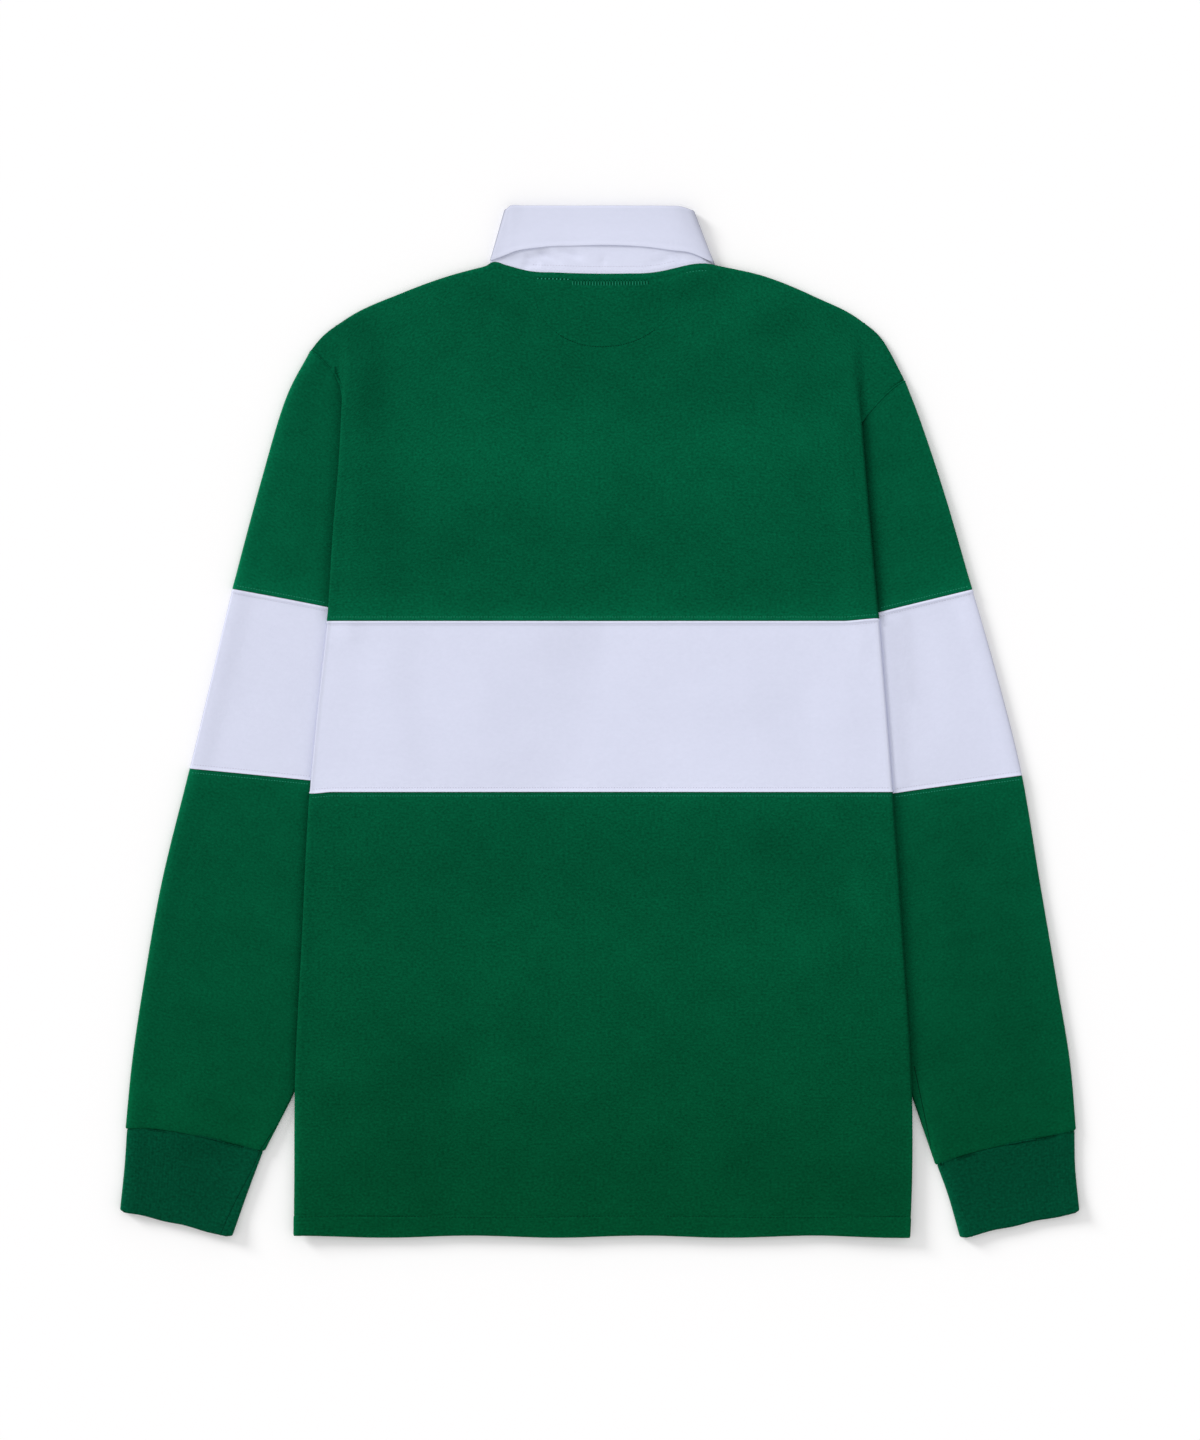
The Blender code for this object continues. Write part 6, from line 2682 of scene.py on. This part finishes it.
@dataclass
class Stitching:
    """Every visible row of stitches on the shirt."""

    lay: Lay
    green: bpy.types.Material
    dark: bpy.types.Material
    white: bpy.types.Material
    clear: float = 1.0

    def level_path(self, up: float, margin: float = 2.0, wave: float = 0.0) -> Array:
        """A path straight across the body.

        Args:
            up: Its height in plan.
            margin: How far inside the body's sides it ends.
            wave: How far it wavers up and down.

        Returns:
            The path.
        """
        low = float(self.lay.side_edge(Side.LEFT, up)) + margin
        high = float(self.lay.side_edge(Side.RIGHT, up)) - margin
        across = np.linspace(low, high, 160)
        shift = self.lay.seam_shift(across, up)
        return np.stack([across, up + shift + wave * np.sin(across / 34.0 + 0.7)], axis=-1)

    def outside_body(self, path: Array) -> Array:
        """The part of a path that the body doesn't cover."""
        return path[self.lay.inset(path[:, 0], path[:, 1]) < -self.clear]

    def arm_path(self, side: Side, index: float, down: float) -> Array:
        """A path across a sleeve, a little down it from one of its seams.

        Args:
            side: Which sleeve.
            index: The seam's place, counted in sections.
            down: How far down the sleeve it lies. It may be below 0.

        Returns:
            The path, as far as the body doesn't cover it.
        """
        shares = np.linspace(0.015, 0.985, 90)
        line, ahead = (self.lay.arm_point(SLEEVES[side], at, shares)[0] for at in (index, index + 0.05))
        run = ahead - line
        return self.outside_body(line + run / np.linalg.norm(run, axis=-1, keepdims=True) * down)

    def cuff_path(self, side: Side) -> Array:
        """The seam that closes a cuff, which shows near its inner edge.

        Args:
            side: Which cuff.

        Returns:
            The path.
        """
        index = np.linspace(0.05, 1.98, 60)
        _, width = self.lay.arm_point(CUFFS[side], index, 0.5)
        inside = ROLL + 0.4 + Sleeve.seam_inside * step(index / 2.0)
        return self.lay.arm_point(CUFFS[side], index, 1 - inside / width)[0]

    def underarm_path(self, side: Side, reach: tuple[float, float], inside: tuple[float, float]) -> Array:
        """The end of the underarm seam, where it shows beside the inner edge of a sleeve.

        Args:
            side: Which sleeve.
            reach: Where it starts and ends, counted in sections.
            inside: How far inside the edge it lies at its start and at its end.

        Returns:
            The path, as far as the body doesn't cover it.
        """
        index = np.linspace(*reach, 40)
        _, width = self.lay.arm_point(SLEEVES[side], index, 0.5)
        shares = 1 - np.linspace(*inside, 40) / width
        return self.outside_body(self.lay.arm_point(SLEEVES[side], index, shares)[0])

    def neck_path(self, down: float, low: float, high: float) -> Array:
        """A path some way below the back neck's edge, or above it on the collar's stand."""
        across = np.linspace(low, high, 80)
        return np.stack([across, self.lay.top_edge(across) - down], axis=-1)

    def half_moon(self) -> Array:
        """The edge of the half-moon facing under the back neck.

        Returns:
            The path.
        """
        spots = np.array([(spot.across, spot.up) for spot in HALF_MOON])
        run = run_along(spots)
        return through(run, spots, np.linspace(0.0, run[-1], 120))

    def band_rows(self, outside: float, radii: tuple[float, float, float]) -> list[Seam]:
        """The rows beside the two seams of the band, on the body and on the sleeves.

        Args:
            outside: How far outside the band they lie, or inside it where this is below 0.
            radii: The stitches' radius at the band's top, at its foot, and on the sleeves.

        Returns:
            The rows.
        """
        top, foot, arm = (Thread(2.1, 1.3, radius) for radius in radii)
        rows = [
            Seam("band top", self.level_path(BAND_TOP + outside), top),
            Seam("band foot", self.level_path(BAND_BOTTOM - outside), foot),
        ]
        for side in Side:
            rows.append(Seam("sleeve band top", self.arm_path(side, BAND_START, -outside), arm))
            rows.append(Seam("sleeve band foot", self.arm_path(side, BAND_END, outside), arm))
        return rows

    def build(
        self, body: Sequence[bpy.types.Object], arms: Sequence[bpy.types.Object], collar: bpy.types.Object
    ) -> None:
        """Sews every row.

        Args:
            body: The panels of the back.
            arms: The parts of the sleeves and the cuffs.
            collar: The collar.
        """
        on_shirt = Stitcher([*body, *arms])
        green = self.band_rows(3.0, (0.27, 0.24, 0.32)) + [
            Seam("neck bars", self.neck_path(7.6, -22.0, 38.0), Thread(2.2, 3.8, 0.22, True)),
            Seam("neck dots, left", self.neck_path(5.0, -49.0, -22.0), Thread(2.9, 1.3, 0.6, True)),
            Seam("neck dots, right", self.neck_path(5.6, 66.0, 82.0), Thread(2.4, 1.2, 0.36)),
        ]
        on_shirt.sew("band_stitches_green", green, self.green, "jersey_green")
        white = self.band_rows(-3.3, (0.2, 0.2, 0.2))
        on_shirt.sew("band_stitches_white", white, self.white, "jersey_white")
        moon, faint = self.half_moon(), Thread(2.0, 1.8, 0.13)
        left_underarm = self.underarm_path(Side.LEFT, (8.62, 8.98), (0.8, 3.4))
        right_underarm = self.underarm_path(Side.RIGHT, (7.84, 8.8), (9.6, 1.0))
        dark = [
            Seam("half moon", moon[28:92], Thread(2.0, 1.8, 0.26)),
            Seam("half moon, left end", moon[:28], faint),
            Seam("half moon, right end", moon[92:], faint),
            Seam("neck bars", self.neck_path(5.3, -22.0, 38.0), Thread(2.2, 1.0, 0.34, True)),
            Seam("between the neck bars", self.neck_path(7.2, -20.9, 38.0), Thread(2.2, 3.6, 0.28, True)),
            Seam("neck dots", self.neck_path(4.7, -47.5, -22.0), Thread(2.9, 1.0, 0.4, True)),
            Seam("hem", self.level_path(HEM + HEM_TURN, 3.0, 0.6), Thread(2.4, 2.0, 0.22)),
            Seam("left cuff", self.cuff_path(Side.LEFT), Thread(1.6, 1.9, 0.2)),
            Seam("right cuff", self.cuff_path(Side.RIGHT), Thread(1.6, 1.9, 0.12)),
            Seam("left underarm", left_underarm, Thread(1.6, 1.9, 0.3)),
            Seam("right underarm", right_underarm, Thread(1.6, 1.9, 0.3)),
        ]
        on_shirt.sew("hem_and_neck_stitches", dark, self.dark, "jersey_green")
        stand = Seam("stand", self.neck_path(-5.5, -52.0, 58.0), Thread(2.2, 1.7, 0.16))
        Stitcher([collar]).sew("collar_stitches", [stand], self.white, "twill_white")


# The studio


@dataclass
class Studio:
    """A pale floor, a soft window to the upper left and the camera straight above."""

    view_height: float = 1.109
    view_across: float = 0.0002
    view_up: float = 0.0013
    lens: float = 100.0
    sensor: float = 36.0
    floor_size: float = 14.0
    floor_drop: float = 0.0004
    floor_colour: tuple[float, float, float] = (0.97, 0.965, 0.967)
    floor_glow: float = 0.049
    sun_heading: float = 144.0
    sun_height: float = 21.0
    sun_angle: float = 18.0
    sun_share: float = 0.23
    brightness: float = 0.985

    def build_floor(self) -> None:
        """Makes the floor, just under the cloth."""
        bpy.ops.object.select_all(action="DESELECT")
        bpy.ops.mesh.primitive_plane_add(size=self.floor_size, location=(0.0, 0.0, -self.floor_drop))
        floor = bpy.context.object
        floor.name = "floor"
        material, nodes, shader = new_material("paper floor")
        for key, value in (
            ("Base Color", (*self.floor_colour, 1.0)),
            ("Roughness", 1.0),
            ("Specular IOR Level", 0.0),
            ("Emission Color", (1.0, 1.0, 1.0, 1.0)),
            ("Emission Strength", self.floor_glow),
        ):
            nodes.feed(shader.inputs[key], value)
        floor.data.materials.append(material)

    def build_light(self) -> None:
        """Makes the soft key light, which is far away, so that it falls off nowhere."""
        height, heading = math.radians(self.sun_height), math.radians(self.sun_heading)
        data = bpy.data.lights.new("window", "SUN")
        data.angle = math.radians(self.sun_angle)
        data.energy = self.sun_share * self.brightness * math.pi / math.sin(height)
        light = put("window", data)
        from_light = Vector((
            -math.cos(heading) * math.cos(height), -math.sin(heading) * math.cos(height), -math.sin(height),
        ))
        light.location = -2.0 * from_light
        light.rotation_euler = from_light.to_track_quat("-Z", "Y").to_euler()

    def build_camera(self) -> None:
        """Makes the camera, which looks straight down with the collar at the top."""
        data = bpy.data.cameras.new("camera")
        data.lens = self.lens
        data.sensor_width = self.sensor
        camera = put("camera", data)
        distance = self.view_height * self.lens / data.sensor_width
        camera.location = (self.view_across, self.view_up, distance)
        bpy.context.scene.camera = camera

    def build(self) -> None:
        """Makes the floor, the lights, the surroundings and the camera."""
        self.build_floor()
        self.build_light()
        world = bpy.data.worlds.new("surroundings")
        world.use_nodes = True
        background = world.node_tree.nodes["Background"]
        background.inputs["Color"].default_value = (1.0, 1.0, 1.0, 1.0)
        background.inputs["Strength"].default_value = (1 - self.sun_share) * self.brightness
        bpy.context.scene.world = world
        bpy.context.scene.view_settings.view_transform = "Standard"
        self.build_camera()


def main() -> None:
    """Builds the shirt and the studio round the fixed frame."""
    logging.basicConfig(level=logging.INFO, format="%(message)s")
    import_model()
    Studio().build()
    green, sleeve_green, white = GREEN.make(), GREEN_SLEEVE.make(), WHITE.make()
    twill, rib = TWILL.make(), RIB.make()
    body = Body(LAY, green, white)
    panels = body.build()
    arms = []
    for side in Side:
        arms += Sleeve(LAY, side, sleeve_green, white, rib).build()
    collar = Collar(LAY, twill).build()
    Placket(LAY, body, twill, RUBBER.make()).build()
    stitching = Stitching(LAY, GREEN_THREAD.make(), DARK_THREAD.make(), WHITE_THREAD.make())
    stitching.build(panels[:3], arms, collar)
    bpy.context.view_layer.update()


if __name__ == "__main__":
    main()
